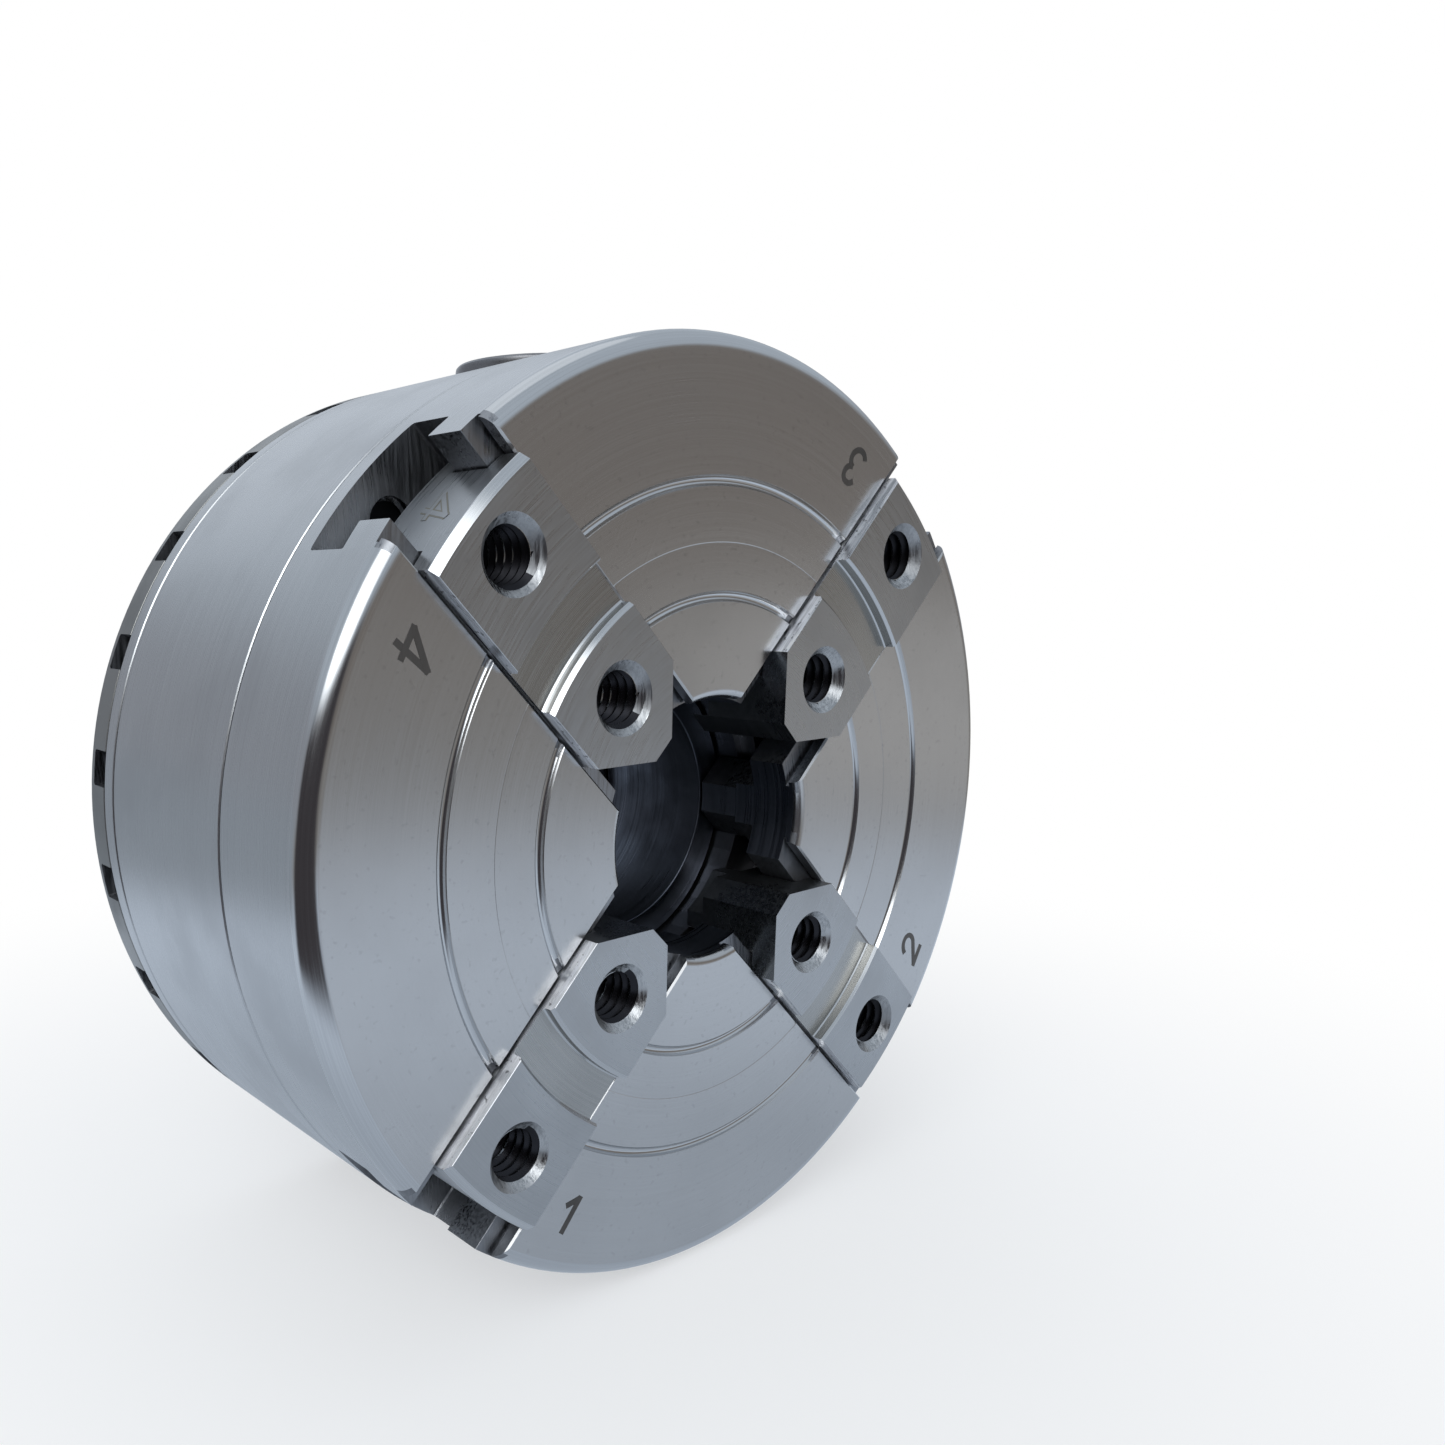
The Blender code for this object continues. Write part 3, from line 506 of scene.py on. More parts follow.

# %% [markdown]
# ### Steel
#
# Every finish on the chuck is steel, so one function makes them all from the same parts: a
# metal shader, a pattern that changes its colour and roughness a little, and a bump made of
# the tool marks. What differs is the colour of the oxide, the direction of the marks and
# how deep they are. In the bore and the threads the colour is darkened as painted shade.

# %% One steel, many finishes
def steel(name, colour, roughness, marks, marks_depth, per_mm=6.0, wander=1.5, angle=0.0,
          waves=0.4, tone=0.05, spread=0.06, specks=0.0, scratch=0.3, grime=0.12,
          dark=(0.10, 0.10, 0.11)):
    """A machined steel. marks is the node group that draws its tool marks."""
    material = bpy.data.materials.new(name)
    material.use_nodes = True
    tree = Tree(material.node_tree.nodes, material.node_tree.links)
    shader = tree.nodes["Principled BSDF"]
    shader.inputs["Metallic"].default_value = 1.0
    course = {"Wander": wander} if marks is LATHE else {"Angle": angle, "Waviness": waves}
    fine, wide = tree.add("ShaderNodeGroup", {"Lines per mm": per_mm, **course},
                          node_tree=marks).outputs
    wear = tree.add("ShaderNodeGroup", node_tree=SCRATCH).outputs
    shade = tree.times(wear["Grime"], grime)
    shade = tree.math("MAXIMUM", shade, tree.times(wear["Specks"], specks))
    line_shade = tree.ramp(fine, 0.35, 0.65, 1.0 - tone, 1.0 + tone)
    toned = tree.vector("MULTIPLY", colour, line_shade)
    tree.feed(shader.inputs["Base Color"], tree.tint(shade, toned, (*dark, 1)))
    base = tree.ramp(fine, 0.3, 0.7, roughness - spread, roughness + spread)
    rough = tree.math("ADD", base, tree.times(wear["Grime"], grime * 0.5))
    rough = tree.math("ADD", rough, tree.times(wide, spread * 0.5))
    tree.feed(shader.inputs["Roughness"], rough)
    height = tree.times(fine, marks_depth)
    height = tree.math("ADD", height, tree.times(wear["Scratch"], scratch))
    height = tree.math("SUBTRACT", height, tree.times(wear["Specks"], specks))
    bump = tree.add("ShaderNodeBump", {"Height": height, "Strength": 0.35,
                                       "Distance": 0.02 * MM})
    tree.feed(shader.inputs["Normal"], bump.outputs["Normal"])
    material.diffuse_color = (*colour, 1)
    return material


# %% The finishes on this chuck
TURNED = steel("turned bright steel", (0.58, 0.58, 0.58), 0.22, LATHE, 0.08, per_mm=9.0,
               tone=0.02, spread=0.025, specks=0.10, grime=0.05)
SIDE = steel("turned side steel", (0.58, 0.59, 0.60), 0.27, LATHE, 0.45, per_mm=9.0,
             wander=0.9)
RING = steel("dull ring steel", (0.33, 0.33, 0.32), 0.34, LATHE, 0.6, per_mm=7.0, grime=0.3)
POLISHED = steel("bright edge steel", (0.61, 0.62, 0.63), 0.14, LATHE, 0.15, per_mm=5.0,
                 spread=0.03, grime=0.04, scratch=0.1)
GROUND = steel("ground jaw steel", (0.48, 0.49, 0.50), 0.29, LATHE, 0.6, per_mm=3.5,
               wander=5.0, tone=0.04, spread=0.07, specks=0.12, scratch=0.8)
RECESS = steel("turned recess steel", (0.44, 0.44, 0.43), 0.24, LATHE, 0.8, per_mm=4.5,
               wander=2.0, spread=0.06, specks=0.05, scratch=0.2)
MILLED = [steel("milled side steel %d" % i, (0.84, 0.85, 0.88), 0.40, GRIND, 4.0, per_mm=1.8,
                angle=turn, tone=0.25, spread=0.18, specks=0.8, grime=0.35)
          for i, turn in ((1, -math.pi / 4), (2, math.pi / 4))]
TIP = steel("wiped tip steel", (0.26, 0.27, 0.28), 0.26, GRIND, 0.9, per_mm=2.0,
            angle=math.pi / 4, grime=0.4, scratch=0.1, dark=(0.04, 0.04, 0.045))
SINK = steel("countersunk steel", (0.50, 0.51, 0.52), 0.26, GRIND, 4.5, per_mm=2.5, waves=4.0,
             tone=0.2, spread=0.14, grime=0.5)
SLOT = steel("oiled slot steel", (0.34, 0.35, 0.37), 0.32, GRIND, 2.6, per_mm=3.0, waves=4.0,
             tone=0.12, spread=0.12, grime=0.75, dark=(0.04, 0.04, 0.045))
# Painted shade: the bore steel is coloured near black-blue, as a deep bore looks in shade; its
# grime is random.
BORE_PAINTED_DARK = steel("bore steel painted dark", (0.15, 0.165, 0.20), 0.32, LATHE, 2.2, per_mm=2.0, wander=0.6,
             spread=0.12, grime=0.5, dark=(0.01, 0.01, 0.015))
# Painted shade: thread flanks are coloured near black, as in a hole's shade; the crests get the
# bright edge steel.
THREAD_PAINTED_DARK = steel("thread steel painted dark", (0.035, 0.035, 0.04), 0.22, LATHE, 0.2, per_mm=6.0,
               grime=0.4, dark=(0.01, 0.01, 0.01))
HARDENED = steel("hardened dark steel", (0.26, 0.26, 0.27), 0.30, LATHE, 0.6, per_mm=5.0,
                 grime=0.3)
BLACKED = steel("black screw steel", (0.035, 0.036, 0.04), 0.42, LATHE, 0.5, per_mm=4.0,
                grime=0.2, dark=(0.01, 0.01, 0.01))
ETCHED = steel("etched dark mark", (0.17, 0.16, 0.15), 0.50, GRIND, 1.0, per_mm=8.0,
               grime=0.3, dark=(0.05, 0.05, 0.05))
PALE_MARK = steel("pale etched mark", (0.34, 0.32, 0.27), 0.45, GRIND, 1.0, per_mm=4.0)
print("finishes:", len(bpy.data.materials))

# %% [markdown]
# ## The stage
#
# A pale floor, a soft tent and two large soft lights. Polished steel shows what stands
# round it, so the tent is a gradient: warm and quiet in front, brighter above and behind,
# with a window on the left and a dark figure under it that gives the rim its contrast. The
# camera sees the tent as plain white.

# %% Colours round the chuck
WALLS = {"front": (0.22, 0.20, 0.185, 1), "back": (0.33, 0.35, 0.39, 1),
         "above": (0.50, 0.56, 0.63, 1), "behind above": (0.68, 0.74, 0.82, 1),
         "window": (2.30, 2.38, 2.45, 1), "figure": (0.055, 0.05, 0.055, 1)}
# The bench glows with these colours to everything but the camera, as painted light: near is a
# painted shadow round the chuck, lit the painted lit bench beyond it.
BENCH_GLOW = {"near": (0.44, 0.50, 0.58, 1), "lit": (0.61, 0.69, 0.80, 1),
         "far": (0.27, 0.26, 0.25, 1), "paper": (0.50, 0.50, 0.50, 1),
         "behind": (0.33, 0.37, 0.42, 1)}
PAPER_SIDE, BACK_SIDE, FIGURE_SHADOW_SIDE = (0.83, -0.56), (-0.4, 0.9), (-0.82, -0.57)


# %% Floor
def make_floor():
    """Pale floor: to the camera white with a partly painted soft shadow, to the steel a glowing
    blue-grey bench of painted light and shade, with a sheet of paper on the right and the
    dark figure's painted shadow on the left."""
    builder = bmesh.new()
    bmesh.ops.create_grid(builder, x_segments=1, y_segments=1, size=6)
    bmesh.ops.translate(builder, verts=builder.verts, vec=(0, 0, cad_box[0].z))
    floor = as_object(builder, "pale_floor")
    material = bpy.data.materials.new("pale floor")
    material.use_nodes = True
    tree = Tree(material.node_tree.nodes, material.node_tree.links)
    place = tree.add("ShaderNodeTexCoord").outputs["Object"]
    centred = tree.vector("ADD", place, (0, 0.03, -cad_box[0].z))
    away, heading = tree.vector("LENGTH", centred), tree.vector("NORMALIZE", centred)

    def patch(side, low, high, near, far):
        """A soft patch of the floor, to one side and beyond a distance."""
        turned_to = tree.facing(heading, Vector((*side, 0)).normalized(), low, high)
        return tree.times(turned_to, tree.ramp(away, near, far))

    matt = tree.add("ShaderNodeBsdfDiffuse", {"Color": (0.9, 0.9, 0.9, 1)}).outputs[0]
    white = tree.add("ShaderNodeEmission", {"Color": (1, 1, 1, 1)}).outputs[0]
    # Painted shadow: round the chuck the white glow gives way to a grey diffuse floor, which also
    # shows the lamps' real shadow.
    shadow = tree.ramp(away, 0.03, 0.24, 0.5, 0.0)
    shown = tree.add("ShaderNodeMixShader", {0: shadow, 1: white, 2: matt}).outputs[0]
    # Painted light and shade: darker near the chuck as a painted shadow, brighter a little way
    # out, darker far off.
    bench = tree.tint(tree.ramp(away, 0.05, 0.16), BENCH_GLOW["near"], BENCH_GLOW["lit"])
    bench = tree.tint(tree.ramp(away, 0.23, 0.43), bench, BENCH_GLOW["far"])
    bench = tree.tint(patch(PAPER_SIDE, 0.965, 0.995, 0.3, 0.5), bench, BENCH_GLOW["paper"])
    bench = tree.tint(patch(BACK_SIDE, 0.5, 0.9, 0.16, 0.28), bench, BENCH_GLOW["behind"])
    # Painted shadow of the dark figure, in the figure's colour, on the bench to the front left.
    bench = tree.tint(patch(FIGURE_SHADOW_SIDE, 0.58, 0.78, 0.13, 0.18), bench, WALLS["figure"])
    # The bench glows: painted light that only the steel sees.
    painted_bench_light = tree.add("ShaderNodeEmission", {"Color": bench}).outputs[0]
    seen = tree.add("ShaderNodeLightPath").outputs["Is Camera Ray"]
    both = tree.add("ShaderNodeMixShader", {0: seen, 1: painted_bench_light, 2: shown}).outputs[0]
    tree.feed(tree.nodes["Material Output"].inputs["Surface"], both)
    floor.data.materials.append(material)


make_floor()


# %% Tent
def make_tent():
    """The world: white to the camera, a soft gradient to everything it lights."""
    world = bpy.data.worlds.new("soft tent")
    world.use_nodes = True
    bpy.context.scene.world = world
    tree = Tree(world.node_tree.nodes, world.node_tree.links)
    direction = tree.add("ShaderNodeTexCoord").outputs["Generated"]

    walls = tree.tint(tree.facing(direction, (0, 1, 0), -0.4, 0.5), WALLS["front"], WALLS["back"])
    high_up = tree.facing(direction, (0, 0, 1), 0.22, 0.48)
    walls = tree.tint(high_up, walls, WALLS["above"])
    upper_back = tree.facing(direction, (0.25, 0.86, 0.45), 0.88, 0.99)
    walls = tree.tint(upper_back, walls, WALLS["behind above"])
    window = tree.times(tree.facing(direction, (-0.66, -0.44, 0.60), 0.82, 0.93),
                        tree.facing(direction, (0, 0, 1), 0.34, 0.50))
    walls = tree.tint(window, walls, WALLS["window"])
    corner = tree.facing(direction, Vector((-0.80, -0.60, 0)).normalized(), 0.55, 0.75)
    low = tree.math("SUBTRACT", 1.0, tree.facing(direction, (0, 0, 1), 0.26, 0.40))
    walls = tree.tint(tree.times(corner, low), walls, WALLS["figure"])
    seen = tree.add("ShaderNodeLightPath").outputs["Is Camera Ray"]
    tree.feed(tree.nodes["Background"].inputs["Color"], tree.tint(seen, walls, (1, 1, 1, 1)))


make_tent()


# %% Soft lights
def soft_light(name, place, size, power, colour=(1, 1, 1)):
    """A large round light that points at the chuck and stays out of the picture."""
    light = bpy.data.lights.new(name, "AREA")
    light.shape = "ELLIPSE"
    light.size, light.size_y = size
    light.energy = power
    light.color = colour
    obj = bpy.data.objects.new(name, light)
    obj.location = place
    obj.rotation_euler = (-Vector(place)).to_track_quat("-Z", "Y").to_euler()
    obj.visible_camera = False
    bpy.context.scene.collection.objects.link(obj)


soft_light("window", (-0.72, -0.50, 0.66), (0.60, 0.40), 1.2, (0.94, 0.98, 1))
soft_light("overhead", (0.1, 0.2, 1.1), (1.0, 1.0), 0.8)

# %% [markdown]
# ## The camera
#
# The camera stands a little above the axis, to the left, close to the chuck. A short lens at
# that distance makes the near jaw larger than the far one. The chuck sits low and left in
# the picture, which a small lens shift gives without turning the camera.

# %% Camera
def make_camera():
    camera = bpy.data.cameras.new("camera")
    camera.sensor_width = 36.0
    camera.lens = 30.045
    camera.shift_x, camera.shift_y = 0.1506, 0.0955
    camera.clip_start, camera.clip_end = 0.01, 20
    obj = bpy.data.objects.new("camera", camera)
    obj.rotation_euler = [math.radians(a) for a in (76.8428, 0.6284, -38.0149)]
    obj.location = (-0.119366, -0.168398, 0.033085)
    bpy.context.scene.collection.objects.link(obj)
    bpy.context.scene.camera = obj
    print("camera", [round(c / MM, 1) for c in obj.location], "mm")


make_camera()
bpy.context.scene.view_settings.view_transform = "Standard"

# %% [markdown]
# ## Front body
#
# The front body is a turned disc with two half-round reference grooves, a faint scribed
# circle, a well-rounded rim and four tee slots milled right across. It is spun from one
# outline; each pair of opposite slots is one long cutter. The cutter's section widens by a
# quarter of a millimetre at the face, which leaves the small chamfer that a fitter files
# along the slot.

# %% Outline of the front body
FACE_GROOVES = (30.6 * MM, 44.8 * MM)
GROOVE_R = 0.62 * MM
SCRIBED_R = 37.3 * MM
RIM = 2.4 * MM
FINE_EDGE = 0.25 * MM


def groove(radius):
    """A half-round groove with slightly broken edges, from the bore outwards."""
    lip = 0.10 * MM
    bowl = arc((radius, FACE_Z - 0.05 * MM), GROOVE_R, 190, 350, 8)
    return [(radius - GROOVE_R - lip, FACE_Z), *bowl, (radius + GROOVE_R + lip, FACE_Z)]


def front_outline():
    low = SPLIT_Z + GAP / 2
    top = THREAD_TOP_Z + 2 * GAP
    mouth = arc((BORE_R + 1.2 * MM, FACE_Z - 1.2 * MM), 1.2 * MM, 180, 90, 6)
    scribed = [(SCRIBED_R + x * MM, FACE_Z - y * MM) for x, y in ((-0.1, 0), (0, 0.05), (0.1, 0))]
    rim = arc((BODY_R - RIM, FACE_Z - RIM), RIM, 90, 0, 12)
    foot = [(BODY_R, low, 0.4 * MM), (CAVITY_R, low), (CAVITY_R, top), (HUB_R, top),
            (HUB_R, low + GAP), (BORE_R, low + GAP)]
    return [*mouth, *groove(FACE_GROOVES[0]), *scribed, *groove(FACE_GROOVES[1]), *rim, *foot]


# %% Cutters for the slots
def slot_cutter(angle):
    """Two opposite slots: ledge, tongues, tee space and the relief in the ledge's corner."""
    edge, relief = FINE_EDGE, 0.5 * MM
    half = [(SLOT_HW + edge + CUT, FACE_Z + CUT), (SLOT_HW, FACE_Z - edge),
            (SLOT_HW, LEDGE_Z + relief), (SLOT_HW + relief, LEDGE_Z + relief),
            (SLOT_HW + relief, LEDGE_Z), (TONGUE_HW, LEDGE_Z, 0.15 * MM),
            (TONGUE_HW, TONGUE_Z, 0.15 * MM), (TEE_HW, TONGUE_Z, 0.3 * MM),
            (TEE_HW, TEE_Z, 0.6 * MM)]
    reach = BODY_R + CUT
    return moved(milled(mirrored(half), -reach, reach), about_axis(angle))


def inner_slot_cutter(angle):
    """Opens the slots to the rear round the hub, where the jaws' teeth pass."""
    wide, reach = TEE_HW + 2 * GAP, HUB_R + CUT
    return moved(block((-reach, -wide, SPLIT_Z - CUT), (reach, wide, BASE_Z)),
                 about_axis(angle))


# %% Build the front body
SCREW_MAJOR, SCREW_MINOR = 3.3 * MM, 2.75 * MM   # tapped holes for the body screws


def in_slot(middle, distance):
    """True for a point on the walls and floors that the slot cutters left."""
    if middle.z > FACE_Z - 0.3 * MM or distance > BODY_R - 0.05 * MM:
        return False
    return any(abs((about_axis(-angle) @ middle).y) < TEE_HW + 0.05 * MM for angle in (45, 135))


def front_body():
    low = SPLIT_Z + GAP / 2
    thread = tap(SCREW_MAJOR, SCREW_MINOR, 0.8 * MM, TEE_Z - 1.6 * MM, TEE_Z + 0.8 * MM)
    places = [out_at(SCREW_R, angle) for angle in JAW_ANGLES.values()]
    cutters = [f(angle) for angle in (45, 135) for f in (slot_cutter, inner_slot_cutter)]
    built = carved(turned(front_outline()), *cutters, repeated(thread, places),
                   drilled(SCREW_MAJOR, low - CUT, TEE_Z - 1.3 * MM, places))
    holes = [place.translation for place in places]

    def finish_of(face, middle, distance):
        depth = FACE_Z - middle.z
        near = min(math.hypot(middle.x - p.x, middle.y - p.y) for p in holes)
        if near < SCREW_MAJOR + 0.05 * MM and middle.z < TEE_Z - 0.02 * MM:
            # Thread crests bright; flanks near black as painted shade in the hole.
            return POLISHED if near < SCREW_MINOR + 0.15 * MM else THREAD_PAINTED_DARK
        # Deep in the bore: the steel painted dark, a painted shade.
        if distance < BORE_R + 0.05 * MM and depth > 1.1 * MM:
            return BORE_PAINTED_DARK
        if distance < CAVITY_R + 0.1 * MM and depth > 8.5 * MM or in_slot(middle, distance):
            return SLOT
        if distance > BODY_R - RIM - 0.1 * MM and 0.02 * MM < depth < RIM:
            return POLISHED
        if 0.1 * MM < depth < 1.0 * MM and distance > BORE_R + 3 * MM:
            return POLISHED
        return SIDE if distance > BODY_R - 0.5 * MM else TURNED

    finished(built, "front_body_turned", "body",
             (TURNED, SIDE, BORE_PAINTED_DARK, SLOT, POLISHED, THREAD_PAINTED_DARK), ["front_body"], finish_of)


front_body()

# %% [markdown]
# ## Rear body
#
# The rear body carries the scroll and the two pinions. From outside only its turned side,
# the pinions' bores and the hub inside show, but the piece is whole inside: ledge, gear
# space, spindle adapter's seat and all its screw holes.

# %% Build the rear body
PINION_ANGLES = {"top": 90, "bottom": 270}
PINION_R = 12.4 * MM
NECK_R = 4.5 * MM
RING_ANGLES = [22.5 + 90 * i for i in range(4)]
ADAPTER_ANGLES = [45 + 90 * i for i in range(4)]


def rear_body():
    top, low = SPLIT_Z - GAP / 2, COVER_Z + GAP / 2
    ledge = SPLIT_Z - 2.2 * MM - GAP
    floor = PINION_Z - NECK_R
    socket_top = ADAPTER_TOP + GAP
    ledge_r = TOOTH_FACE[0] - 2 * GAP
    outline = [(CAVITY_R, top, 0.2 * MM), (BODY_R, top, 0.4 * MM), (BODY_R, low, 0.4 * MM),
               (ADAPTER_R + GAP, low, 0.3 * MM), (ADAPTER_R + GAP, socket_top),
               (BORE_R, socket_top, 0.5 * MM), (BORE_R, top, 0.3 * MM), (HUB_R - GAP, top),
               (HUB_R - GAP, ledge), (ledge_r, ledge), (ledge_r, floor), (CAVITY_R, floor)]
    holes = [drilled(r, low - CUT, high, [out_at(at, a) for a in angles])
             for r, high, at, angles in (
                 (3.3 * MM, top + CUT, SCREW_R, JAW_ANGLES.values()),
                 (5.1 * MM, low + 6.3 * MM, SCREW_R, JAW_ANGLES.values()),
                 (2.8 * MM, low + 8.0 * MM, RING_SCREW_R, RING_ANGLES),
                 (2.3 * MM, low + 7.0 * MM, ADAPTER_SCREW_R, ADAPTER_ANGLES),
                 (1.8 * MM, PINION_Z, BODY_R - 6.5 * MM, PINION_ANGLES.values()))]
    bores = [repeated(rod(r, inner, outer), [outward(a) for a in PINION_ANGLES.values()])
             for r, inner, outer in ((PINION_R + GAP, TOOTH_FACE[0] - GAP, BODY_R + CUT),
                                     (NECK_R + GAP, TOOTH_FACE[0] - 10.3 * MM,
                                      TOOTH_FACE[0] - 2 * GAP))]
    built = carved(turned(outline), *holes, *bores)

    def finish_of(face, middle, distance):
        if distance > BODY_R - 0.5 * MM:
            return SIDE
        # Inside the hub: the bore steel painted dark as painted shade; the rest is slot steel.
        return BORE_PAINTED_DARK if distance < HUB_R else SLOT

    finished(built, "rear_body_turned", "body", (SIDE, BORE_PAINTED_DARK, SLOT),
             ["rear_body"], finish_of)


rear_body()

# %% [markdown]
# ## Rear cover and index ring
#
# The thin cover closes the rear body. Behind it the index ring has twenty-four square
# notches round its rim, which a plunger drops into to hold the spindle. The notches are cut
# with one cube, softened with a bevel on its edges, and repeated round the ring.

# %% Build the cover
def rear_cover():
    top, low = COVER_Z - GAP / 2, INDEX_Z + GAP / 2
    inner, spigot = FLANGE_R + GAP, INDEX_BORE_R - GAP
    outline = [(inner, top), (BODY_R, top, 0.4 * MM), (BODY_R, low, 0.2 * MM), (spigot, low),
               (spigot, 0, 0.5 * MM), (inner, 0, 0.3 * MM)]
    at = [out_at(RING_SCREW_R, a) for a in RING_ANGLES]
    built = carved(turned(outline), drilled(2.8 * MM, low - CUT, top + CUT, at))

    def finish_of(face, middle, distance):
        return SIDE if distance > BODY_R - 0.5 * MM else TURNED

    finished(built, "rear_cover_turned", "body", (TURNED, SIDE), ["rear_cover"],
             finish_of)


rear_cover()


# %% Build the index ring
INDEX_COUNT = 24
HEAD_TOP = 5.4 * MM - 2 * GAP - 0.2 * MM


def index_ring():
    top = INDEX_Z - GAP / 2
    outline = [(INDEX_BORE_R, top, 0.3 * MM), (BODY_R, top, 0.25 * MM), (BODY_R, 0, 0.8 * MM),
               (INDEX_BORE_R, 0, 0.4 * MM)]
    notch = block((BODY_R - 6 * MM, -2.5 * MM, top - 3.7 * MM),
                  (BODY_R + CUT, 2.5 * MM, top + CUT))
    inside = [e for e in notch.edges if all(v.co.x < BODY_R - 5 * MM for v in e.verts)
              or all(v.co.z < top - 3 * MM for v in e.verts)]
    bmesh.ops.bevel(notch, geom=inside, offset=0.35 * MM, offset_type="OFFSET", segments=2,
                    profile=0.5, affect="EDGES", material=-1)
    step = 360 / INDEX_COUNT
    notches = repeated(notch, [about_axis((i + 0.5) * step) for i in range(INDEX_COUNT)])
    at = [out_at(RING_SCREW_R, a) for a in RING_ANGLES]
    built = carved(turned(outline), notches, drilled(2.8 * MM, -CUT, top + CUT, at),
                   drilled(4.5 * MM, -CUT, HEAD_TOP, at, 48))

    def finish_of(face, middle, distance):
        if distance > BODY_R - 0.3 * MM:
            return RING
        inside = 0.3 * MM < middle.z < top - 0.3 * MM
        return SLOT if inside and distance > BODY_R - 7 * MM else TURNED

    finished(built, "index_ring_notched", "body", (TURNED, RING, SLOT),
             ["index_ring"], finish_of)


index_ring()

# %% [markdown]
# ## Spindle adapter
#
# The adapter screws on to the lathe's nose, so its bore has a coarse thread. The same tap
# function cuts it, with a lead-in chamfer turned first.

# %% Build the adapter
def spindle_adapter():
    shoulder = COVER_Z - GAP / 2
    bore, thread_r = 14.2 * MM, 16.5 * MM
    outline = [(bore, ADAPTER_TOP, 0.3 * MM), (ADAPTER_R, ADAPTER_TOP, 0.6 * MM),
               (ADAPTER_R, shoulder), (FLANGE_R, shoulder, 0.2 * MM), (FLANGE_R, 0, 0.5 * MM),
               (bore, 0)]
    at = [out_at(ADAPTER_SCREW_R, a) for a in ADAPTER_ANGLES]
    thread = tap(thread_r, 14.6 * MM, 3.5 * MM, -3.5 * MM, ADAPTER_TOP + 3.5 * MM, 96)
    lead = turned([(0, -CUT), (17.8 * MM, -CUT), (14.0 * MM, 2.8 * MM), (0, 2.8 * MM)])
    built = carved(turned(outline), thread, lead,
                   drilled(2.3 * MM, -CUT, shoulder + CUT, at),
                   drilled(3.8 * MM, -CUT, 4.6 * MM, at, 48))

    def finish_of(face, middle, distance):
        return HARDENED if distance < thread_r + 0.1 * MM and middle.z > 0.1 * MM else TURNED

    finished(built, "spindle_adapter_threaded", "body", (TURNED, HARDENED),
             ["spindle_adapter"], finish_of)


spindle_adapter()

# %% [markdown]
# ## Jaws
#
# A master jaw starts as a straight bar with a stepped section. Two planes cut its inner end
# to a point, a ring cuts the outer end to an arc, another turns the recess that seats a top
# jaw, and rings underneath leave the teeth that the scroll drives. Two holes 8 mm across
# are tapped in it. The sides are milled and the top is ground, so their finishes differ.

# %% The jaw's bar
RECESS_IN, RECESS_OUT = 35.2 * MM, 41.8 * MM
RECESS_Z = FACE_Z + 0.3 * MM
HOLE_RADII = (26.8 * MM, 50.3 * MM)
HOLE_MAJOR, HOLE_MINOR, SINK_R = 4.0 * MM, 3.25 * MM, 4.6 * MM
TIP_HW = 1.9 * MM
SPIRAL_START, SPIRAL_PITCH = 24.4 * MM, 6.0 * MM


def jaw_bar():
    shoulder = LEDGE_Z + GAP
    neck, base = TONGUE_HW - GAP, TEE_HW - GAP
    wide = SLOT_HW - GAP
    base_top = TONGUE_Z - GAP
    half = [(wide, PAD_Z, 0.12 * MM), (wide, shoulder, 0.15 * MM), (neck, shoulder),
            (neck, base_top), (base, base_top, 0.3 * MM), (base, BASE_Z, 0.4 * MM),
            (5.5 * MM, BASE_Z), (5.5 * MM, TOOTH_LOW_Z, 0.2 * MM)]
    bar = milled(mirrored(half), JAW_TIP, JAW_END + CUT)
    for side in (1, -1):
        cut = bmesh.ops.bisect_plane(bar, geom=[*bar.verts, *bar.edges, *bar.faces],
                                     dist=1e-7, plane_co=(JAW_TIP, side * TIP_HW, 0),
                                     plane_no=(-1, side, 0), clear_outer=True)["geom_cut"]
        rim = [e for e in cut if isinstance(e, bmesh.types.BMEdge)]
        bmesh.ops.edgeloop_fill(bar, edges=rim)
    return tidy(bar)


# %% Cutters for the jaw
def end_cutter():
    """Leaves the outer end as an arc with a bevelled top edge."""
    bevel, far = 1.0 * MM, JAW_END + 10 * MM
    return turned([(JAW_END - bevel - CUT, PAD_Z + CUT), (far, PAD_Z + CUT),
                   (far, TOOTH_LOW_Z - CUT), (JAW_END, TOOTH_LOW_Z - CUT),
                   (JAW_END, PAD_Z - bevel, 0.1 * MM)], 256)


def recess_cutter():
    """Turned recess with a rounded foot and a chamfered top edge on both of its walls."""
    top, inner_edge, outer_edge = PAD_Z + CUT, 0.50 * MM, 0.35 * MM
    return turned([(RECESS_IN - inner_edge - CUT, top), (RECESS_OUT + outer_edge + CUT, top),
                   (RECESS_OUT, PAD_Z - outer_edge), (RECESS_OUT, RECESS_Z, 0.50 * MM),
                   (RECESS_IN, RECESS_Z, 0.65 * MM), (RECESS_IN, PAD_Z - inner_edge)], 256)


def teeth_cutter(angle):
    """Rings between the jaw's teeth, which follow the scroll's turns at this angle."""
    half = 1.8 * MM
    first = SPIRAL_START + SPIRAL_PITCH * angle / 360
    places = [first + turn * SPIRAL_PITCH for turn in range(-2, 7)]
    together = bmesh.new()
    for centre in places:
        ring = turned([(centre - half, BASE_Z), (centre + half, BASE_Z),
                       (centre + half, TOOTH_LOW_Z - CUT), (centre - half, TOOTH_LOW_Z - CUT)],
                      128)
        added(together, ring, [Matrix.Identity(4)])
    return together


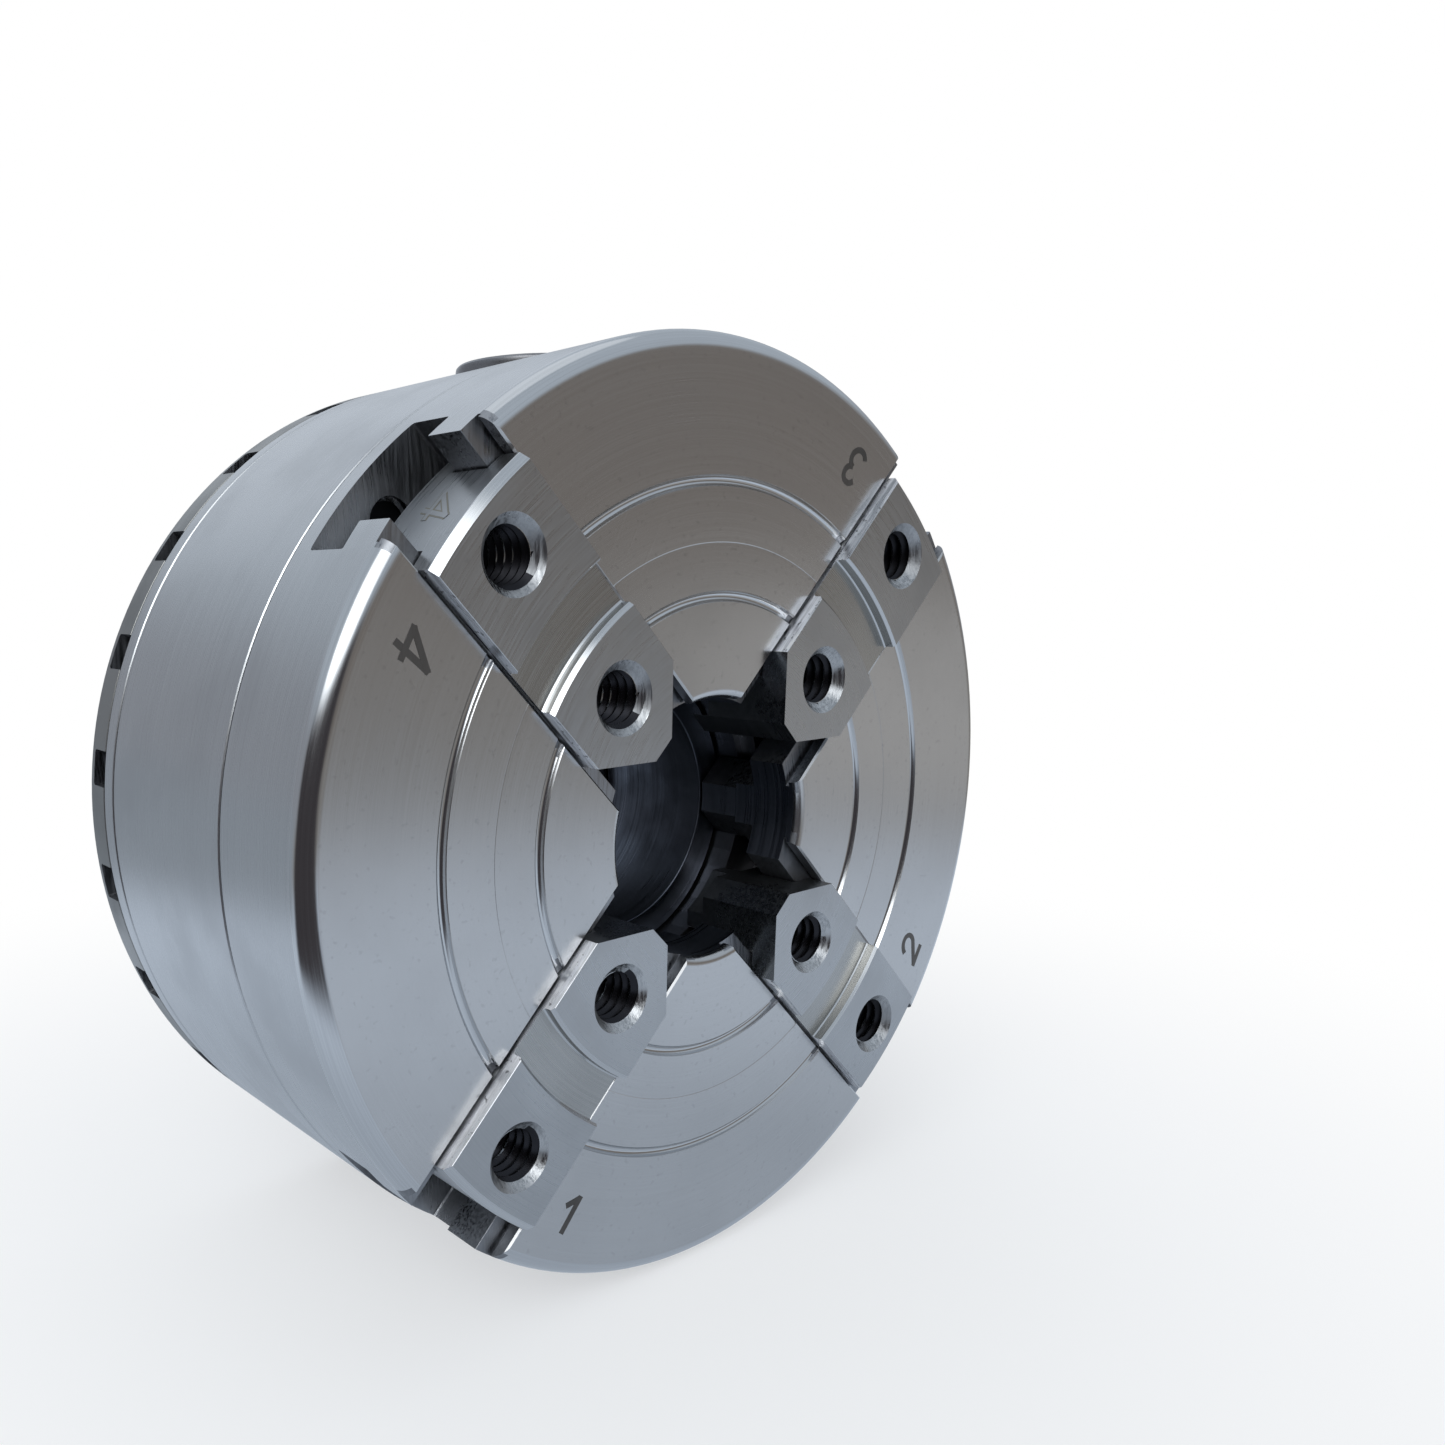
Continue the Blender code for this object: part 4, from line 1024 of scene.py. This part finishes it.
def hole_cutters():
    """A tap and its lead-in chamfer at each of the two holes."""
    places = [out_at(radius) for radius in HOLE_RADII]
    thread = tap(HOLE_MAJOR, HOLE_MINOR, 1.5 * MM, PAD_Z - 13.0 * MM, PAD_Z + 0.5 * MM)
    sink = turned([(0, PAD_Z + CUT), (SINK_R + CUT, PAD_Z + CUT), (SINK_R, PAD_Z, 0.2 * MM),
                   (3.3 * MM, PAD_Z - 1.3 * MM), (0, PAD_Z - 1.3 * MM)], 48)
    return repeated(thread, places), repeated(sink, places)


# %% Build the four jaws
def jaw(number, angle):
    milled_side = MILLED[(number + 1) % 2]
    built = carved(jaw_bar(), end_cutter(), recess_cutter(), teeth_cutter(angle),
                   *hole_cutters())

    def finish_of(face, middle, distance):
        up, above = face.normal.z, middle.z > FACE_Z
        near = min(math.hypot(middle.x - radius, middle.y) for radius in HOLE_RADII)
        if near < HOLE_MAJOR + 0.02 * MM and middle.z < PAD_Z - 1.2 * MM:
            # Thread crests bright; flanks near black as painted shade in the hole.
            return POLISHED if near < HOLE_MINOR + 0.05 * MM else THREAD_PAINTED_DARK
        if near < SINK_R + 0.05 * MM and above and middle.z < PAD_Z - 0.02 * MM:
            return SINK
        if up > 0.95:
            return GROUND if middle.z > PAD_Z - 0.2 * MM else RECESS
        if up > 0.2 and above:
            return POLISHED
        if abs(up) < 0.3 and distance > JAW_END - 0.5 * MM:
            return GROUND
        if (abs(up) < 0.3 and RECESS_IN - MM < distance < RECESS_OUT + MM
                and abs(middle.y) < SLOT_HW - 0.4 * MM and above):
            return RECESS
        return TIP if abs(face.normal.x) > 0.3 else milled_side

    name = "jaw_%d" % number
    finished(built, name + "_ground", name,
             (GROUND, milled_side, THREAD_PAINTED_DARK, POLISHED, SINK, RECESS, TIP), [name], finish_of,
             about_axis(angle))


for number, angle in JAW_ANGLES.items():
    jaw(number, angle)

# %% [markdown]
# ## Pinions
#
# The key turns a bevel pinion. Its flat head nearly fills its bore in the side and has a
# square socket. It is turned, then the tooth spaces are cut with tapered blocks that start
# as cubes, and the socket with a block whose mouth is chamfered.

# %% Build the pinions
HEAD_R = BODY_R + 0.4 * MM                       # the pinions' heads stand a little proud
TOOTH_COUNT, PITCH_SLOPE = 10, 0.25
WIDE_PART, NARROW_PART = 0.37, 0.21              # of the pitch, half a space's width


def tooth_spaces():
    """Tapered spaces between the teeth; one tooth points to the front."""
    inner, outer = TOOTH_FACE
    half_mesh, depth = 1.0 * MM, 3.0 * MM
    cube = bmesh.new()
    for vert in bmesh.ops.create_cube(cube, size=1)["verts"]:
        radius = outer + GAP / 2 if vert.co.z > 0 else inner - CUT
        tip = PITCH_SLOPE * radius + half_mesh
        part = WIDE_PART if vert.co.x > 0 else NARROW_PART
        half = math.tau * PITCH_SLOPE * radius / TOOTH_COUNT * part
        across = tip + CUT if vert.co.x > 0 else tip - depth
        vert.co = (across, math.copysign(half, vert.co.y), radius)
    turns = [360 * (i + 0.5) / TOOTH_COUNT for i in range(TOOTH_COUNT)]
    return repeated(cube, [about_axis(turn) for turn in turns])


def socket():
    """Square hole for the key, chamfered at its mouth."""
    half, corner = 5.0 * MM, 1.4142 * 5.0 * MM
    hole = block((-half, -half, HEAD_R - 12 * MM), (half, half, HEAD_R + CUT))
    mouth = bmesh.new()
    bmesh.ops.create_cone(mouth, cap_ends=True, segments=4, radius1=corner,
                          radius2=corner + 2 * MM, depth=2 * MM)
    moved(mouth, Matrix.Translation((0, 0, HEAD_R + 0.3 * MM)) @ about_axis(45))
    return hole, mouth


def pinion(name, angle):
    inner, outer = TOOTH_FACE
    pin = BODY_R - 6.5 * MM
    outline = [(0, HEAD_R), (PINION_R, HEAD_R, 0.9 * MM), (PINION_R, pin + 1.8 * MM, 0.2 * MM),
               (PINION_R - 1.4 * MM, pin + 1.8 * MM), (PINION_R - 1.4 * MM, pin - 1.8 * MM),
               (PINION_R, pin - 1.8 * MM, 0.2 * MM), (PINION_R, outer + GAP),
               (outer / 4 + 1.0 * MM, outer), (inner / 4 + 1.1 * MM, inner + GAP),
               (NECK_R, inner + GAP), (NECK_R, inner - 10 * MM, 0.5 * MM), (0, inner - 10 * MM)]
    built = carved(turned(outline, 96), tooth_spaces(), *socket())
    finished(built, "pinion_%s_head" % name, "pinion_" + name, (HARDENED,),
             ["pinion_" + name], place=outward(angle))


for name, angle in PINION_ANGLES.items():
    pinion(name, angle)

# %% [markdown]
# ## Screws at the rear
#
# Socket head screws hold the index ring and the adapter. Their heads sit just below the
# rear face, with a hexagon socket whose mouth is broken by a small chamfer.

# %% Build the screws
def cap_screw(name, centre, shank, head, low, high, end):
    """A screw whose head lies from low to high and whose shank goes up to end."""
    chamfer = 0.4 * MM
    outline = [(0, end), (shank, end, chamfer), (shank, high), (head, high, 0.2 * MM),
               (head, low, 2 * chamfer), (0, low)]
    flats = head * 0.52 / math.cos(math.pi / 6)
    hole = turned([(0, (low + high) / 2), (flats, (low + high) / 2), (flats, low - CUT),
                   (0, low - CUT)], 6)
    mouth = turned([(0, low + chamfer), (flats * 0.93, low + chamfer),
                    (flats * 1.12, low - 0.05 * MM), (flats * 1.12, low - CUT),
                    (0, low - CUT)], 32)
    built = carved(turned(outline, 48), hole, mouth)
    finished(built, name + "_black", "body", (BLACKED,), [name],
             place=centre)


for number in range(1, 5):
    cap_screw("ring_screw_%d" % number, out_at(RING_SCREW_R, RING_ANGLES[number - 1]),
              2.5 * MM, 4.2 * MM, HEAD_TOP - GAP - 4.4 * MM, HEAD_TOP - GAP,
              COVER_Z + 7 * MM)
    cap_screw("adapter_screw_%d" % number, out_at(ADAPTER_SCREW_R, ADAPTER_ANGLES[number - 1]),
              2.0 * MM, 3.5 * MM, GAP, GAP + 4 * MM, COVER_Z + 6 * MM)

# %% [markdown]
# ## Jaw numbers
#
# Each slot is numbered, because every jaw fits only its own slot. The numbers are etched
# dark in even strokes with square ends. Each stroke is a flat strip along a line or an arc,
# lifted to a film a few hundredths of a millimetre thick.

# %% Strokes of the numbers
STROKES = {
    "1": [[(0.10, 0.70), (0.42, 0.97)], [(0.42, 1.03), (0.42, 0.0)]],
    "2": [[(0.02, 0.74), *arc((0.32, 0.70), 0.29, 165, -40, 12)], [(0.57, 0.55), (0.0, 0.06)],
          [(-0.06, 0.06), (0.66, 0.06)]],
    "3": [[*arc((0.34, 0.76), 0.24, 160, -80, 10)], [*arc((0.33, 0.27), 0.27, 80, -155, 12)]],
    "4": [[(0.50, 0.0), (0.50, 1.04)], [(0.53, 1.03), (-0.02, 0.28)],
          [(-0.06, 0.30), (0.74, 0.30)]],
}
SLANT = 0.20
NUMBER_R, NUMBER_TURN = 54.2 * MM, 16.5          # place of a number, from its jaw's angle


def strip(builder, points, half):
    """A flat strip along a line of points, in short steps so that it can be bent later."""
    line = []
    for start, end in zip(points, points[1:]):
        steps = max(1, round((end - start).length / (0.8 * MM)))
        line += [start.lerp(end, i / steps) for i in range(steps)]
    line.append(points[-1])
    pairs = []
    for i, here in enumerate(line):
        along = line[min(i + 1, len(line) - 1)] - line[max(i - 1, 0)]
        side = Vector((-along.y, along.x, 0)).normalized() * half
        pairs.append([builder.verts.new(here + side), builder.verts.new(here - side)])
    for (a, b), (c, d) in zip(pairs, pairs[1:]):
        builder.faces.new((a, b, d, c))


def number_mesh(sign, tall, stroke, thick):
    """A number of slanted strokes, centred, with its top towards +Y.

    Each stroke lies a little higher than the one before, so that no two share a surface.
    """
    builder = bmesh.new()
    for i, points in enumerate(STROKES[sign]):
        strip(builder, [Vector(((x - 0.36 + SLANT * (y - 0.5)) * tall, (y - 0.5) * tall,
                                i * thick / 8)) for x, y in points], stroke / 2)
    made = bmesh.ops.extrude_face_region(builder, geom=builder.faces[:])
    bmesh.ops.translate(builder, verts=verts_in(made), vec=(0, 0, thick))
    bmesh.ops.translate(builder, verts=builder.verts, vec=(0, 0, -thick / 2))
    return tidy(builder, 1e-8)


# %% Set the numbers on the face
def face_number(number, angle):
    built = number_mesh(str(number), 5.2 * MM, 0.82 * MM, 0.06 * MM)
    stand = Matrix.Translation((0, 0, FACE_Z)) @ about_axis(90)
    finished(built, "etched_number_%d" % number, "body", (ETCHED,),
             place=out_at(NUMBER_R, angle + NUMBER_TURN) @ stand)


for number, angle in JAW_ANGLES.items():
    face_number(number, angle)


# %% The matching number on a jaw's end
def jaw_end_number(number, angle):
    """Outlined number on the jaw's curved outer end: a steel one over a wider pale one."""
    stand = Matrix(((0, 0, 1, JAW_END), (1, 0, 0, 0), (0, 1, 0, FACE_Z - 4.9 * MM),
                    (0, 0, 0, 1)))
    for name, stroke, thick, finish in (("outline", 1.00, 0.05, PALE_MARK),
                                        ("middle", 0.62, 0.09, GROUND)):
        built = number_mesh(str(number), 5.4 * MM, stroke * MM, thick * MM)
        moved(built, stand)
        for vert in built.verts:
            vert.co.x += math.sqrt(JAW_END ** 2 - vert.co.y ** 2) - JAW_END
        finished(built, "jaw_%d_mark_%s" % (number, name), "jaw_%d" % number,
                 (finish,), place=about_axis(angle))


jaw_end_number(4, JAW_ANGLES[4])

# %% [markdown]
# ## Pieces that stay
#
# The scroll, the retaining pins and the body screws are almost wholly hidden. Their CAD
# shapes are right, so they only get their finish.

# %% Finish the hidden nodes
def refinish(node, material):
    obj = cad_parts[node]
    for slot in obj.material_slots:
        slot.material = material
    if not obj.material_slots:
        obj.data.materials.append(material)


pins = ["pinion_pin_" + side for side in PINION_ANGLES]
body_screws = ["body_screw_%d" % number for number in JAW_ANGLES]
for node in ["scroll_ring", *pins]:
    refinish(node, HARDENED)
for node in body_screws:
    refinish(node, BLACKED)
print("refinished", 1 + len(pins) + len(body_screws), "hidden nodes")
